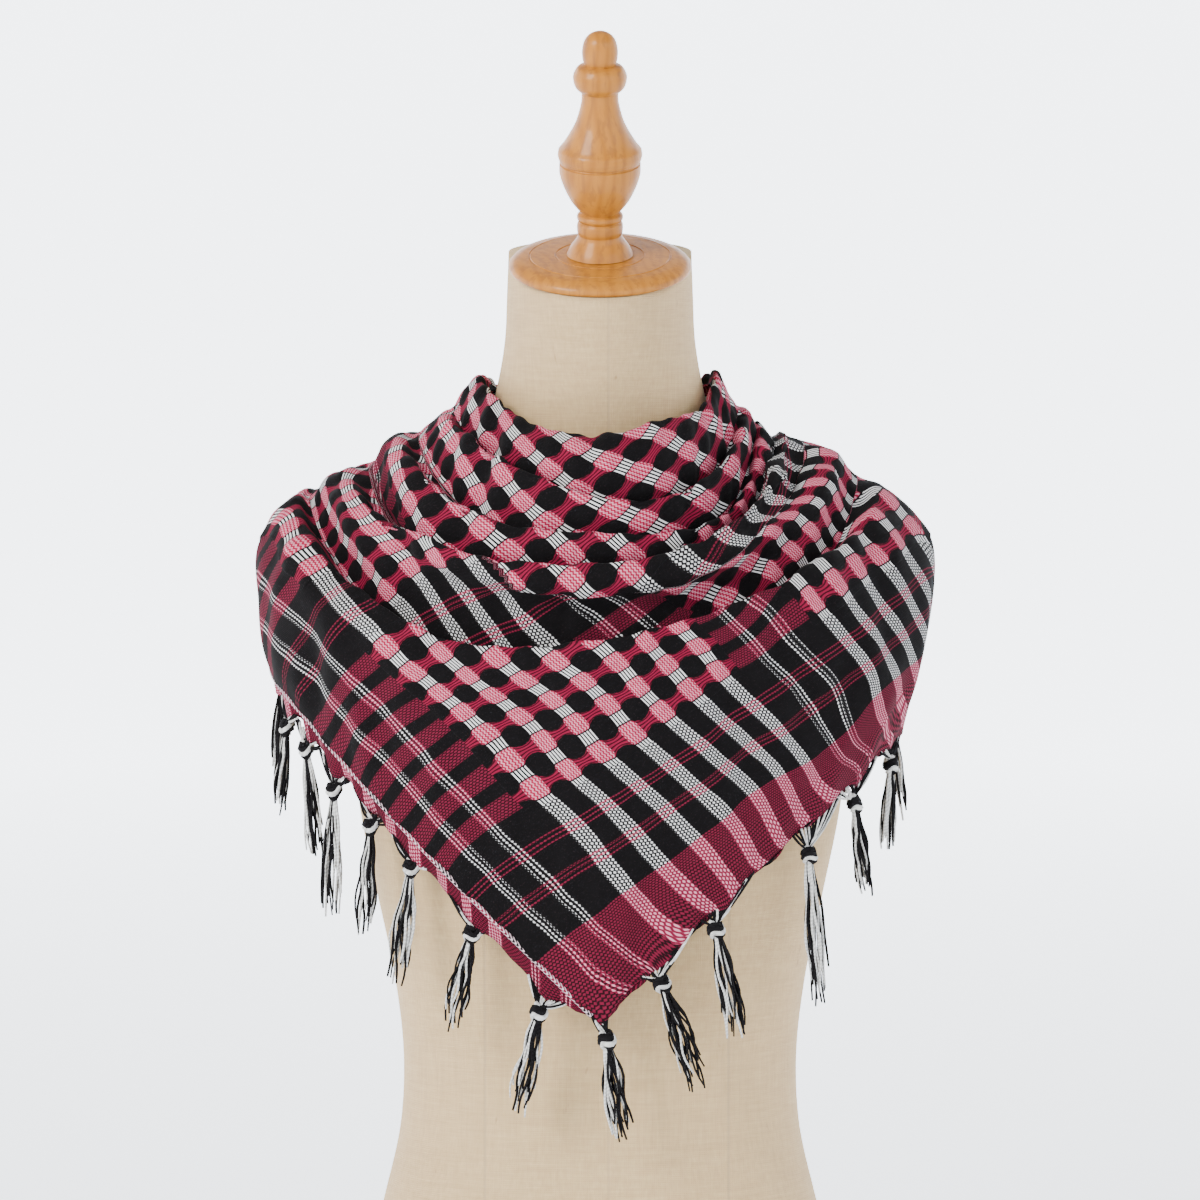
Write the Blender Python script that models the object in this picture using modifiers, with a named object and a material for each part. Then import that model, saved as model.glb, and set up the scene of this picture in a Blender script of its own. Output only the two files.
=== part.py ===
"""Shemagh scarf on a limbless linen dress form.

The scarf is a square cotton cloth folded once on its diagonal and laid round the neck with
its point in front, so it hangs in two layers. The folded edge makes a cowl of swags at the
throat, both ends go back over the shoulders and are knotted at the nape.

Metres, +Z up, the front towards -Y, the origin in the middle of the form's flat underside.
"""
import math
from collections import namedtuple
from functools import lru_cache

import bmesh
import bpy
import numpy as np
from mathutils import Matrix, Vector

MM = 0.001
GAP = 0.3 * MM                      # air between pieces that touch

# ---------------------------------------------------------------- driving sizes
CLOTH_WALL = 1.6 * MM               # one layer of the scarf, with its raised floats
COWL_WALL = 2.2 * MM                # both layers together in the neck folds
UNDER_DROP = 9 * MM                 # how far the under layer shows below the left edge
UNDER_RIGHT = 0.5 * MM              # and below the right edge, where it stays hidden
SEAM_ANGLE = 95                     # degrees from the front to the line behind the shoulder

NECK_TILT = math.radians(18)        # the neck and its turned cap lean forwards
CAP_CENTRE = Vector((0, -0.0335, 0.6883))       # middle of the cap's underside
FINIAL_SEAT = 9.6 * MM              # from there to the foot of the finial

KNOT_CENTRE = Vector((0, 0.0905, 0.5735))
KNOT_HALF = Vector((0.0264, 0.019, 0.0265))

# ---------------------------------------------------------------- dress form sections
# millimetres: height, half width, depth in front and behind, fullness of the oval, forward
# lean of the section in degrees
Section = namedtuple("Section", "height half front back full lean")
FORM_SECTIONS = (
    Section(0, 155, 106, 106, 2.3, 0),
    Section(6, 157, 108, 108, 2.3, 0),
    Section(60, 148, 105, 106, 2.3, 0),
    Section(130, 130, 96, 99, 2.3, 0),
    Section(175, 120, 89, 89, 2.2, 0),
    Section(212, 118, 88, 84, 2.2, 0),
    Section(262, 123, 94, 87, 2.2, 0),
    Section(315, 134, 105, 90, 2.2, 0),
    Section(365, 144, 113, 95, 2.2, 0),
    Section(400, 148, 113, 100, 2.3, 0),
    Section(435, 152, 107, 104, 2.3, 0),
    Section(470, 159, 96, 105, 2.4, 0),
    Section(498, 170, 83, 99, 2.4, 0),
    Section(518, 177, 70, 90, 2.3, 0),
    Section(533, 172, 60, 80, 2.2, 0),
    Section(546, 150, 54, 72, 2.1, 1),
    Section(557, 122, 53, 67, 2.0, 3),
    Section(568, 93, 54, 62, 2.0, 5),
    Section(579, 76, 57, 56, 2.0, 7),
    Section(594, 67.5, 61, 50, 2.0, 9),
    Section(614, 62, 65, 43.5, 2.0, 12),
    Section(640, 57, 74, 36, 2.0, 15),
    Section(666, 55.6, 82, 28.5, 2.0, 17.5),
    Section(688, 54.7, 88, 22, 2.0, 18),
)

# ---------------------------------------------------------------- turned pieces
# millimetres: radius and height above the piece's foot, from the top down
CAP_PROFILE = ((0, 9.3), (20, 9.2), (44, 8.3), (50, 6.9), (53.4, 4.6), (54.3, 2.2),
               (53.6, 0.3), (50, 0), (0, 0))
FINIAL_PROFILE = ((0, 137), (5.5, 135.8), (9.2, 131.6), (10.6, 125), (10.2, 119.3), (9.6, 116.8),
                  (13.5, 114.8), (15.8, 110), (15.2, 104), (10.8, 99.6), (11.4, 92.7),
                  (15.0, 80.8), (21.0, 70), (24.6, 64.6), (24.2, 58.2), (22.8, 54.2),
                  (21.6, 44.4), (17.0, 33.5), (11.2, 26.1), (13.2, 21.7), (13.2, 12.3),
                  (14.2, 10.4), (18.4, 4.4), (19.8, 0), (0, 0))

# ---------------------------------------------------------------- the drape of the scarf
# Each row is one line of the cloth that runs round the body: the crest of a fold or the edge.
# Millimetres. left and right are its half widths over the shoulders and depth its distance in
# front. The nine heights go round from the back of the left shoulder to the back of the right
# one, and back and nape are the depth behind and the height where it runs into the knot.
# swag, tuck and dip say how the cloth falls in the valley just above the row: how far down,
# how far in, and how deep the furrow over the shoulder is. point is 1 where the row comes to
# a point in front, as the lower edge does.
Fold = namedtuple("Fold", "name left right depth heights back nape swag tuck dip point")
HEIGHT_ANGLES = (-135, -90, -60, -30, 0, 30, 60, 90, 135)
SHOULDER_BACK = 0.72                # share of the half width that is left behind the shoulder
NAPE_ANGLE = 172
NAPE_X = 26.2                       # half the width of the knot, in millimetres
FOLDS = (
    Fold("inside", 68, 67, 84, (607, 615, 602, 585, 581, 588, 597, 618, 607),
         43, (66, 592), 0, 0, 0, 0),
    Fold("neckline", 72, 70, 94, (613, 624, 612, 596, 591, 599, 606, 626, 613),
         46, (70, 599), 0, 0, 0, 0),
    Fold("first_band", 80, 76, 106, (604, 617, 601, 582, 571, 576, 592, 614, 604),
         54, (76, 597), 0, 0, 0, 0),
    Fold("second_crest", 95, 89, 113, (594, 601, 592, 571, 555, 556, 577, 602, 594),
         62, (79, 592), 13, 11, 5, 0),
    Fold("third_crest", 123, 97, 121, (581, 588, 569, 541, 535, 536, 552, 592, 586),
         70, (82, 587), 14, 12, 6, 0),
    Fold("fourth_crest", 152, 111, 130, (566, 567, 547, 522, 518, 529, 555, 587, 578),
         77, (84, 582), 14, 12, 6, 0),
    Fold("fourth_lip", 157, 114, 132, (562, 563, 539, 512, 504, 518, 548, 585, 575),
         79, (85, 579), 0, 0, 0, 0),
    Fold("recess", 165, 140, 119, (556, 560, 530, 498, 487, 504, 543, 577, 562),
         82, (86, 575), 0, 0, 0, 0),
    Fold("great_crest", 183, 168, 143, (545, 552, 517, 474, 474, 497, 527, 557, 548),
         89, (87, 571), 26, 18, 6, 0),
    Fold("yoke", 204, 189, 143, (520, 523, 494, 444, 431, 456, 494, 538, 527),
         98, (88, 566), 0, 0, 0, 0.1),
    Fold("chest", 205, 200, 134, (496, 490, 461, 403, 364, 400, 449, 514, 504),
         103, (89, 562), 0, 0, 0, 0.4),
    Fold("belly", 203, 195, 127, (476, 469, 437, 370, 299, 364, 420, 466, 478),
         105, (90, 558), 0, 0, 0, 0.85),
    Fold("edge", 198, 181, 122, (458, 451, 419, 344, 248, 333, 390, 415, 450),
         106, (91, 554), 0, 0, 0, 1),
)

# Soft ridges (rise above 0) and troughs that cross the rows. Millimetres: sideways place and
# height of both ends as seen from the front or from behind, width and rise.
Crease = namedtuple("Crease", "side_0 height_0 side_1 height_1 width rise")
FRONT_CREASES = (
    Crease(-143, 574, -112, 518, 6, -4.5),
    Crease(-128, 582, -92, 528, 6, 3.5),
    Crease(-112, 588, -78, 540, 5, -3.5),
    Crease(-176, 556, -140, 500, 8, -4.0),
    Crease(-160, 566, -126, 505, 7, 4.0),
    Crease(-190, 540, -158, 478, 9, 3.5),
    Crease(-150, 490, -95, 452, 8, 3.0),
    Crease(-60, 600, -72, 560, 5, -3.0),
    Crease(34, 505, 118, 540, 8, 5.0),
    Crease(58, 494, 132, 545, 6, -4.0),
    Crease(96, 585, 112, 548, 5, 4.0),
    Crease(122, 583, 108, 540, 5, -4.0),
    Crease(140, 575, 120, 520, 6, 3.0),
    Crease(152, 566, 170, 470, 8, -3.0),
    Crease(128, 520, 168, 440, 10, 3.0),
    Crease(96, 494, 140, 404, 11, -3.0),
    Crease(30, 452, 84, 350, 13, 2.5),
    Crease(60, 462, 112, 372, 12, -2.5),
    Crease(-40, 452, -24, 330, 14, -2.5),
    Crease(-150, 462, -132, 392, 8, 3.0),
    Crease(-175, 480, -168, 425, 7, -3.0),
    Crease(-96, 430, -86, 350, 10, 2.5),
)
BACK_CREASES = (
    Crease(34, 572, 150, 520, 7, 3.5),
    Crease(34, 566, 158, 488, 8, -3.5),
    Crease(34, 562, 150, 464, 8, 3.0),
    Crease(40, 586, 120, 556, 5, -3.0),
    Crease(-34, 574, -140, 536, 6, -3.5),
    Crease(-34, 568, -160, 506, 8, 3.5),
    Crease(-34, 563, -156, 474, 8, -3.5),
    Crease(-38, 586, -110, 562, 5, 3.0),
)

# ---------------------------------------------------------------- the ends behind the knot
# millimetres along the tail from the knot: sideways, depth, height, width, fold depth
TailStep = namedtuple("TailStep", "side depth height width fold")
TAIL_RIGHT = (
    TailStep(11, 92, 546.2, 17, 2.2),
    TailStep(19, 104, 522, 32, 4.5),
    TailStep(29, 113, 488, 56, 6.5),
    TailStep(38, 117, 446, 70, 7.0),
    TailStep(45, 117, 400, 62, 6.0),
    TailStep(51, 114, 356, 36, 3.5),
    TailStep(54, 112, 322, 9, 1.2),
)
TAIL_LEFT = (
    TailStep(-11, 94, 546.6, 17, 2.2),
    TailStep(-22, 106, 520, 30, 4.5),
    TailStep(-35, 114, 484, 52, 6.5),
    TailStep(-47, 117, 444, 64, 7.0),
    TailStep(-57, 116, 404, 54, 5.5),
    TailStep(-64, 113, 368, 30, 3.0),
    TailStep(-68, 111, 340, 9, 1.2),
)
TAIL_PLEATS = 2.5                   # waves across a tail
TAIL_WALL = 2.4 * MM
TAIL_ROWS = 10                      # rows of faces along a tail, and columns across it

# ---------------------------------------------------------------- tassels
# millimetres. angle is the place on the edge, in degrees round the body from the front; side
# and drop are the knot's place from there, lean and reach are the tail's sideways lean and
# length below the knot.
Tassel = namedtuple("Tassel", "name angle side drop lean reach")
FRONT_TASSELS = (
    Tassel("tassel_point", 0, 4, 8, 10, 58),
    Tassel("tassel_right_1", 12.5, -3, 12, 22, 59),
    Tassel("tassel_right_2", 24.5, -8, 15, 14, 64),
    Tassel("tassel_right_3", 44, -3, 17, 7, 84),
    Tassel("tassel_right_4", 57, -2, 11, 8, 52),
    Tassel("tassel_right_5", 74, -1, 9, -3, 49),
    Tassel("tassel_right_6", 104, 2, 10, 3, 54),
    Tassel("tassel_right_7", 124, 0, 11, -4, 56),
    Tassel("tassel_right_8", 146, 2, 11, 5, 55),
)
UNDER_TASSELS = (
    Tassel("tassel_left_1", -9.5, -4, 13, -12, 58),
    Tassel("tassel_left_2", -23.5, 3, 13, -13, 54),
    Tassel("tassel_left_3", -36, 3, 12, -9, 66),
    Tassel("tassel_left_4", -45, 2, 13, -4, 62),
    Tassel("tassel_left_5", -54.5, 1, 16, -3, 74),
    Tassel("tassel_left_6", -65, 1, 12, 5, 60),
    Tassel("tassel_left_7", -76, 1, 13, -5, 50),
    Tassel("tassel_left_8", -106, -2, 12, -3, 55),
    Tassel("tassel_left_9", -125, 0, 12, 4, 54),
    Tassel("tassel_left_10", -146, -2, 12, -5, 55),
)
TailTassel = namedtuple("TailTassel", "share lift")      # share of the edge, lift off the tail
TAIL_TASSELS_RIGHT = (TailTassel(0.45, 13), TailTassel(0.65, 6), TailTassel(0.85, 3),
                      TailTassel(1.0, 2))
TAIL_TASSELS_LEFT = (TailTassel(0.45, 15), TailTassel(0.75, 5), TailTassel(1.0, 2))
STRANDS = 7
KNOT_RADIUS = 5.0 * MM
FAN_HALF = 8 * MM                   # half width of the loose threads at the cloth's edge
TAIL_FAN_HALF = 6 * MM
POINT_FAN_HALF = 2.5 * MM
FAN_GAP = 0.9 * MM                  # from the edge of the cloth to the straight fan
FAN_THICK = 0.7 * MM

FORM_STEPS = 28
FINIAL_STEPS = 18
CAP_STEPS = 32
COLOURS = {                         # name: base colour, roughness
    "linen": ((0.69, 0.60, 0.45, 1), 0.85),
    "varnished_wood": ((0.62, 0.30, 0.10, 1), 0.25),
    "scarf_weave": ((0.20, 0.03, 0.06, 1), 0.80),
    "thread": ((0.10, 0.10, 0.10, 1), 0.75),
}


# ---------------------------------------------------------------- scene helpers
def clear_scene():
    for item in list(bpy.data.objects):
        bpy.data.objects.remove(item, do_unlink=True)


def make_collection(name):
    group = bpy.data.collections.new(name)
    bpy.context.scene.collection.children.link(group)
    return group


def make_material(name):
    colour, roughness = COLOURS[name]
    material = bpy.data.materials.new(name)
    material.use_nodes = True
    shader = material.node_tree.nodes["Principled BSDF"]
    shader.inputs["Base Color"].default_value = colour
    shader.inputs["Roughness"].default_value = roughness
    shader.inputs["Metallic"].default_value = 0.0
    return material


def add_object(group, name, mesh, material, smooth=True):
    mesh.materials.append(material)
    item = bpy.data.objects.new(name, mesh)
    group.objects.link(item)
    if smooth:
        mesh.shade_smooth()
        mesh.set_sharp_from_angle(angle=math.radians(40))
    return item


def mesh_from(bm, name):
    mesh = bpy.data.meshes.new(name)
    bm.to_mesh(mesh)
    bm.free()
    return mesh


# ---------------------------------------------------------------- curves
def slopes(knots, values):
    """Tangents of a smooth curve through the values, one for each knot."""
    steps = np.diff(knots)[:, None]
    chords = np.diff(values, axis=0) / steps
    middle = (chords[:-1] * steps[1:] + chords[1:] * steps[:-1]) / (steps[:-1] + steps[1:])
    return np.vstack((chords[:1], middle, chords[-1:]))


def smooth_curve(knots, values, place):
    """The point at place on a smooth curve through values, which sit at the knots."""
    knots = np.asarray(knots, float)
    values = np.asarray(values, float)
    tangents = slopes(knots, values)
    left = int(np.clip(np.searchsorted(knots, place) - 1, 0, len(knots) - 2))
    span = knots[left + 1] - knots[left]
    t = (place - knots[left]) / span
    return ((2 * t**3 - 3 * t**2 + 1) * values[left]
            + (t**3 - 2 * t**2 + t) * span * tangents[left]
            + (3 * t**2 - 2 * t**3) * values[left + 1]
            + (t**3 - t**2) * span * tangents[left + 1])


def unit(vector):
    return vector / np.linalg.norm(vector)


# ---------------------------------------------------------------- the draped surface
STATIONS = (-NAPE_ANGLE, -135, -90, -60, -30, 0, 30, 60, 90, 135, NAPE_ANGLE)
FRONT_STATION = STATIONS.index(0)


def station_points(fold):
    """One row's points in metres at the stations round the body."""
    heights = dict(zip(HEIGHT_ANGLES, fold.heights))
    points = []
    for angle in STATIONS:
        half = fold.right if angle > 0 else fold.left
        turn = math.radians(angle)
        side = 1 if angle > 0 else -1
        if abs(angle) == NAPE_ANGLE:
            point = (side * NAPE_X, fold.nape[0], fold.nape[1])
        elif abs(angle) == 135:
            point = (side * half * SHOULDER_BACK, fold.back, heights[angle])
        else:
            point = (half * math.sin(turn), -fold.depth * math.cos(turn), heights[angle])
        points.append(point)
    return np.array(points) * MM


def valley_points(upper, lower, fold):
    """The bottom of the furrow between two crests, a swag in front and a dip elsewhere."""
    points = []
    for angle, above, below in zip(STATIONS, upper, lower):
        swag = max(0.0, math.cos(math.radians(angle))) ** 0.7
        turn = math.radians(angle)
        inward = np.array((-math.sin(turn), math.cos(turn), 0))
        hang = below + inward * fold.tuck * MM - np.array((0, 0, fold.swag * MM))
        nape = 0.25 if abs(angle) == NAPE_ANGLE else 1.0
        furrow = (above + below) / 2 - np.array((0, 0, fold.dip * MM * nape))
        points.append(hang * swag + furrow * (1 - swag))
    return np.array(points)


def drape_rows():
    """Every row of the surface from the inside of the neckline to the edge, with valleys."""
    rows = []
    points = []
    sharp = []
    upper = None
    for fold in FOLDS:
        own = station_points(fold)
        if fold.dip:
            rows.append("above_" + fold.name)
            points.append(valley_points(upper, own, fold))
            sharp.append(0)
        rows.append(fold.name)
        points.append(own)
        sharp.append(fold.point)
        upper = own
    return rows, points, sharp


ROW_NAMES, ROW_POINTS, ROW_SHARP = drape_rows()
NECK_ROW = 0
POCKET_ROW = ROW_NAMES.index("above_great_crest")
POCKET_REACH = 0.9                  # rows from the bottom of the pocket to its mouth
CREST_ROW = ROW_NAMES.index("great_crest")
EDGE_ROW = len(ROW_NAMES) - 1


@lru_cache(maxsize=None)
def row_point(row, angle):
    """The point of one row at an angle, with a corner in front where the row has one."""
    points = ROW_POINTS[row]
    even = smooth_curve(STATIONS, points, angle)
    share = ROW_SHARP[row]
    if not share:
        return even
    half = slice(FRONT_STATION, None) if angle >= 0 else slice(None, FRONT_STATION + 1)
    cornered = smooth_curve(STATIONS[half], points[half], angle)
    return even * (1 - share) + cornered * share


def even_point(row, angle):
    """A point of the scarf's outer face before the creases; row may lie between two rows."""
    low = max(0, min(int(row) - 1, EDGE_ROW - 3))
    rows = range(low, low + 4)
    return smooth_curve(list(rows), [row_point(r, angle) for r in rows], row)


def crease_rise(point):
    """How far the creases lift the cloth at a point."""
    rise = 0.0
    for crease in FRONT_CREASES if point[1] < 0.02 else BACK_CREASES:
        start = np.array((crease.side_0, crease.height_0)) * MM
        run = np.array((crease.side_1, crease.height_1)) * MM - start
        offset = point[[0, 2]] - start
        share = float(np.clip(offset @ run / (run @ run), 0, 1))
        away = np.linalg.norm(offset - run * share) / (crease.width * MM)
        fade = math.sin(math.pi * (0.06 + 0.88 * share)) ** 0.6
        rise += crease.rise * MM * fade * math.exp(-away * away)
    return rise


def drape_point(row, angle):
    """A point of the scarf's outer face with its creases, which die out in the deep pocket."""
    point = even_point(row, angle)
    clear = min(1.0, abs(row - POCKET_ROW) / POCKET_REACH)
    return point + surface_normal(even_point, row, angle) * crease_rise(point) * clear


def surface_normal(surface, row, angle):
    """The outward direction of a surface at a point."""
    step = 0.02
    down = surface(min(row + step, EDGE_ROW), angle) - surface(max(row - step, 0), angle)
    round_ = surface(row, angle + 0.3) - surface(row, angle - 0.3)
    return unit(np.cross(down, round_))


def drape_normal(row, angle):
    return surface_normal(drape_point, row, angle)


# ---------------------------------------------------------------- walls
def wall_mesh(name, outer, inner):
    """A closed wall between two grids of points with the same rows and columns."""
    rows = len(outer)
    columns = len(outer[0])
    bm = bmesh.new()
    front = [[bm.verts.new(p) for p in line] for line in outer]
    back = [[bm.verts.new(p) for p in line] for line in inner]
    for r in range(rows - 1):
        for c in range(columns - 1):
            bm.faces.new((front[r][c], front[r + 1][c], front[r + 1][c + 1], front[r][c + 1]))
            bm.faces.new((back[r][c], back[r][c + 1], back[r + 1][c + 1], back[r + 1][c]))
    rim = [(0, c) for c in range(columns)]
    rim += [(r, columns - 1) for r in range(1, rows)]
    rim += [(rows - 1, c) for c in range(columns - 2, -1, -1)]
    rim += [(r, 0) for r in range(rows - 2, 0, -1)]
    for (r0, c0), (r1, c1) in zip(rim, rim[1:] + rim[:1]):
        bm.faces.new((front[r0][c0], front[r1][c1], back[r1][c1], back[r0][c0]))
    bmesh.ops.recalc_face_normals(bm, faces=bm.faces[:])
    return mesh_from(bm, name)


def drawn_in(line):
    """A line of points whose two ends keep half a gap from the next piece."""
    first = line[0] + unit(line[1] - line[0]) * GAP / 2
    last = line[-1] + unit(line[-2] - line[-1]) * GAP / 2
    return [first] + line[1:-1] + [last]


def drape_wall(name, rows, angles, thickness):
    """A wall of the scarf under its outer face."""
    outer = []
    inner = []
    for row in rows:
        line = drawn_in([drape_point(row, a) for a in angles])
        normals = [drape_normal(row, a) for a in angles]
        outer.append(line)
        inner.append([p - n * thickness for p, n in zip(line, normals)])
    return wall_mesh(name, outer, inner)


def spread(first, last, count):
    return [first + (last - first) * i / count for i in range(count + 1)]


# ---------------------------------------------------------------- the dress form
def oval_point(section, turn):
    """A point on a section of the form: an oval whose front and back depths differ."""
    power = 2 / section.full
    across = math.copysign(abs(math.sin(turn)) ** power, math.sin(turn)) * section.half
    depth = section.front if math.cos(turn) > 0 else section.back
    along = -math.copysign(abs(math.cos(turn)) ** power, math.cos(turn)) * depth
    middle = (section.back - section.front) / 2
    rise = (along - middle) * math.tan(math.radians(section.lean))
    return Vector((across, along, section.height + rise)) * MM


def form_torso(group, linen):
    bm = bmesh.new()
    rings = []
    for section in FORM_SECTIONS:
        turns = [2 * math.pi * i / FORM_STEPS for i in range(FORM_STEPS)]
        rings.append([bm.verts.new(oval_point(section, turn)) for turn in turns])
    for low, high in zip(rings, rings[1:]):
        for i in range(FORM_STEPS):
            j = (i + 1) % FORM_STEPS
            bm.faces.new((low[i], low[j], high[j], high[i]))
    bm.faces.new(rings[0])
    bm.faces.new(rings[-1])
    bmesh.ops.recalc_face_normals(bm, faces=bm.faces[:])
    add_object(group, "form_torso", mesh_from(bm, "form_torso"), linen)


def turned_piece(group, name, profile, seat, steps, material):
    """A piece turned on a lathe: its profile spun round the tilted axis of the neck."""
    bm = bmesh.new()
    verts = [bm.verts.new((radius * MM, 0, height * MM)) for radius, height in profile]
    for upper, lower in zip(verts, verts[1:]):
        bm.edges.new((upper, lower))
    item = add_object(group, name, mesh_from(bm, name), material, smooth=False)
    lathe = item.modifiers.new("lathe", "SCREW")
    lathe.steps = steps
    lathe.render_steps = steps
    lathe.use_merge_vertices = True
    lathe.merge_threshold = 0.0001
    lathe.use_smooth_shade = True
    item.matrix_world = Matrix.Translation(seat) @ Matrix.Rotation(NECK_TILT, 4, "X")


def neck_axis():
    return Matrix.Rotation(NECK_TILT, 3, "X") @ Vector((0, 0, 1))


# ---------------------------------------------------------------- the scarf's pieces
FRONT_ANGLES = spread(-SEAM_ANGLE, SEAM_ANGLE, 26)
BACK_ANGLES = spread(SEAM_ANGLE, NAPE_ANGLE, 7)
POCKET_SEAM = 0.03                  # half the slit between cowl and panel, in rows
COWL_ROWS = spread(NECK_ROW, POCKET_ROW - POCKET_SEAM, 22)
PANEL_ROWS = spread(POCKET_ROW + POCKET_SEAM, CREST_ROW, 3)[:-1] + spread(CREST_ROW, EDGE_ROW, 10)


def cowl(group, weave):
    add_object(group, "cowl", drape_wall("cowl", COWL_ROWS, FRONT_ANGLES, COWL_WALL), weave)


def front_panel(group, weave):
    mesh = drape_wall("front_panel", PANEL_ROWS, FRONT_ANGLES, CLOTH_WALL)
    add_object(group, "front_panel", mesh, weave)


def under_edge(angle):
    """How far the under layer runs past the upper one: it shows on the left only."""
    share = 0.5 - 0.5 * math.tanh((angle + 4) / 5)
    return UNDER_DROP * share + UNDER_RIGHT * (1 - share)


def under_panel(group, weave):
    """The second layer behind the front panel, with its own edge."""
    rows = [row for row in PANEL_ROWS if row > CREST_ROW]
    lift = CLOTH_WALL + GAP
    outer = []
    inner = []
    for row in rows:
        line = drawn_in([drape_point(row, a) for a in FRONT_ANGLES])
        normals = [drape_normal(row, a) for a in FRONT_ANGLES]
        outer.append([p - n * lift for p, n in zip(line, normals)])
        inner.append([p - n * (lift + CLOTH_WALL) for p, n in zip(line, normals)])
    for lines in (outer, inner):
        ends = zip(lines[-1], FRONT_ANGLES)
        lines.append([p + edge_down(a) * under_edge(a) for p, a in ends])
    add_object(group, "under_panel", wall_mesh("under_panel", outer, inner), weave)


def edge_down(angle):
    """The direction in which the cloth runs where it reaches its lower edge."""
    return unit(drape_point(EDGE_ROW, angle) - drape_point(EDGE_ROW - 0.05, angle))


def back_piece(group, name, side, weave):
    """One end of the scarf on its way from the shoulder to the knot at the nape."""
    rows = COWL_ROWS + PANEL_ROWS
    angles = [side * a for a in BACK_ANGLES]
    if side < 0:
        angles.reverse()
    add_object(group, name, drape_wall(name, rows, angles, COWL_WALL), weave)


def nape_knot(group, weave):
    """The two ends tied over each other: a firm lump with the wrap running across it."""
    bm = bmesh.new()
    bmesh.ops.create_uvsphere(bm, u_segments=20, v_segments=12, radius=1)
    for vert in bm.verts:
        x, y, z = vert.co
        square = 0.16 * (x**4 + y**4 + z**4) ** -0.25 + 0.84
        wrap = math.exp(-((x + 0.45 * z) / 0.42) ** 2)
        pleats = 0.05 * math.cos(11 * (x + 0.45 * z))
        bulge = 0.78 + 0.3 * wrap + pleats
        vert.co = Vector((x * square * KNOT_HALF.x, y * bulge * KNOT_HALF.y,
                          z * (square + 0.06 * wrap) * KNOT_HALF.z)) + KNOT_CENTRE
    add_object(group, "nape_knot", mesh_from(bm, "nape_knot"), weave)


def tail_frame(steps, place):
    """The middle of a tail, its width and its fold depth at a share of its length."""
    knots = [i / (len(steps) - 1) for i in range(len(steps))]
    side, depth, height, width, fold = smooth_curve(knots, steps, place) * MM
    return np.array((side, depth, height)), width, fold


def tail_point(steps, place, across):
    """A point on a tail's outer face; across runs from -1 to 1."""
    middle, width, fold = tail_frame(steps, place)
    wave = math.cos(math.pi * TAIL_PLEATS * across + 2.2 * place)
    return middle + np.array((width / 2 * across, fold * wave, 0))


def tail(group, name, steps, weave):
    outer = []
    inner = []
    for place in spread(0, 1, TAIL_ROWS):
        line_out = []
        line_in = []
        for across in spread(-1, 1, TAIL_ROWS):
            point = tail_point(steps, place, across)
            along = tail_point(steps, min(place + 0.01, 1), across)
            along = along - tail_point(steps, max(place - 0.01, 0), across)
            over = tail_point(steps, place, across + 0.02) - tail_point(steps, place, across - 0.02)
            normal = unit(np.cross(along, over))
            if normal[1] < 0:
                normal = -normal
            line_out.append(point + normal * TAIL_WALL / 2)
            line_in.append(point - normal * TAIL_WALL / 2)
        outer.append(line_out)
        inner.append(line_in)
    add_object(group, name, wall_mesh(name, outer, inner), weave)


# ---------------------------------------------------------------- tassels
def ring(bm, centre, across, thick, half, depth):
    """Corners round a centre, in the plane of the two directions, one for each strand."""
    corners = []
    for i in range(STRANDS):
        turn = 2 * math.pi * (i + 0.5) / STRANDS
        corners.append(bm.verts.new(centre + across * half * math.cos(turn)
                                    + thick * depth * math.sin(turn)))
    return corners


def skin(bm, upper, lower):
    for i in range(STRANDS):
        j = (i + 1) % STRANDS
        bm.faces.new((upper[i], lower[i], lower[j], upper[j]))


def across_run(face, run):
    """Two directions across a run of threads: sideways, and out from the cloth."""
    out = (face - run * face.dot(run)).normalized()
    return out.cross(run), out


def tassel(group, name, root, along, face, knot, tail_end, seed, thread, fan_half=FAN_HALF):
    """Loose warp threads gathered from the cloth's edge into a knot, and their cut ends."""
    root, along, face, knot, tail_end = (Vector(v) for v in (root, along, face, knot, tail_end))
    bm = bmesh.new()
    down = (knot - root).normalized()
    drop = (tail_end - knot).normalized()
    if along.cross(face).dot(down) < 0:
        along = -along
    neck_x, neck_y = across_run(face, down)
    level_x, level_y = across_run(face, drop)
    fan = ring(bm, root, along, face, fan_half, FAN_THICK)
    neck = ring(bm, knot - down * 6.5 * MM, neck_x, neck_y, 3.4 * MM, 2.2 * MM)
    belly = ring(bm, knot, level_x, level_y, KNOT_RADIUS, KNOT_RADIUS * 0.9)
    foot = ring(bm, knot + drop * 5.5 * MM, level_x, level_y, 3.7 * MM, 3.4 * MM)
    bm.faces.new(fan)
    skin(bm, fan, neck)
    skin(bm, neck, belly)
    skin(bm, belly, foot)
    hub = bm.verts.new(knot + drop * 6.2 * MM)
    roots = [bm.faces.new((foot[i], hub, foot[(i + 1) % STRANDS])) for i in range(STRANDS)]
    bmesh.ops.inset_individual(bm, faces=roots, thickness=0.28 * MM)
    length = (tail_end - knot).length
    for number, face_ in enumerate(roots):
        turn = 2 * math.pi * (number + 1) / STRANDS
        swing = math.sin(seed * 2.7 + number * 2.3)
        splay = level_x * math.cos(turn) + level_y * math.sin(turn) * 0.7
        sag = Vector((math.sin(seed + number * 1.7), math.cos(seed * 1.9 + number), 0))
        reach = length * (0.92 + 0.12 * swing)
        middle = drop * reach * 0.5 + splay * 2.2 * MM + sag * 1.2 * MM
        tip = drop * (reach * 0.5 - 3 * MM) + splay * (1.4 + 0.8 * swing) * MM - sag * 1.6 * MM
        strand(bm, face_, middle, tip)
    bmesh.ops.recalc_face_normals(bm, faces=bm.faces[:])
    add_object(group, name, mesh_from(bm, name), thread, smooth=False)


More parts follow.
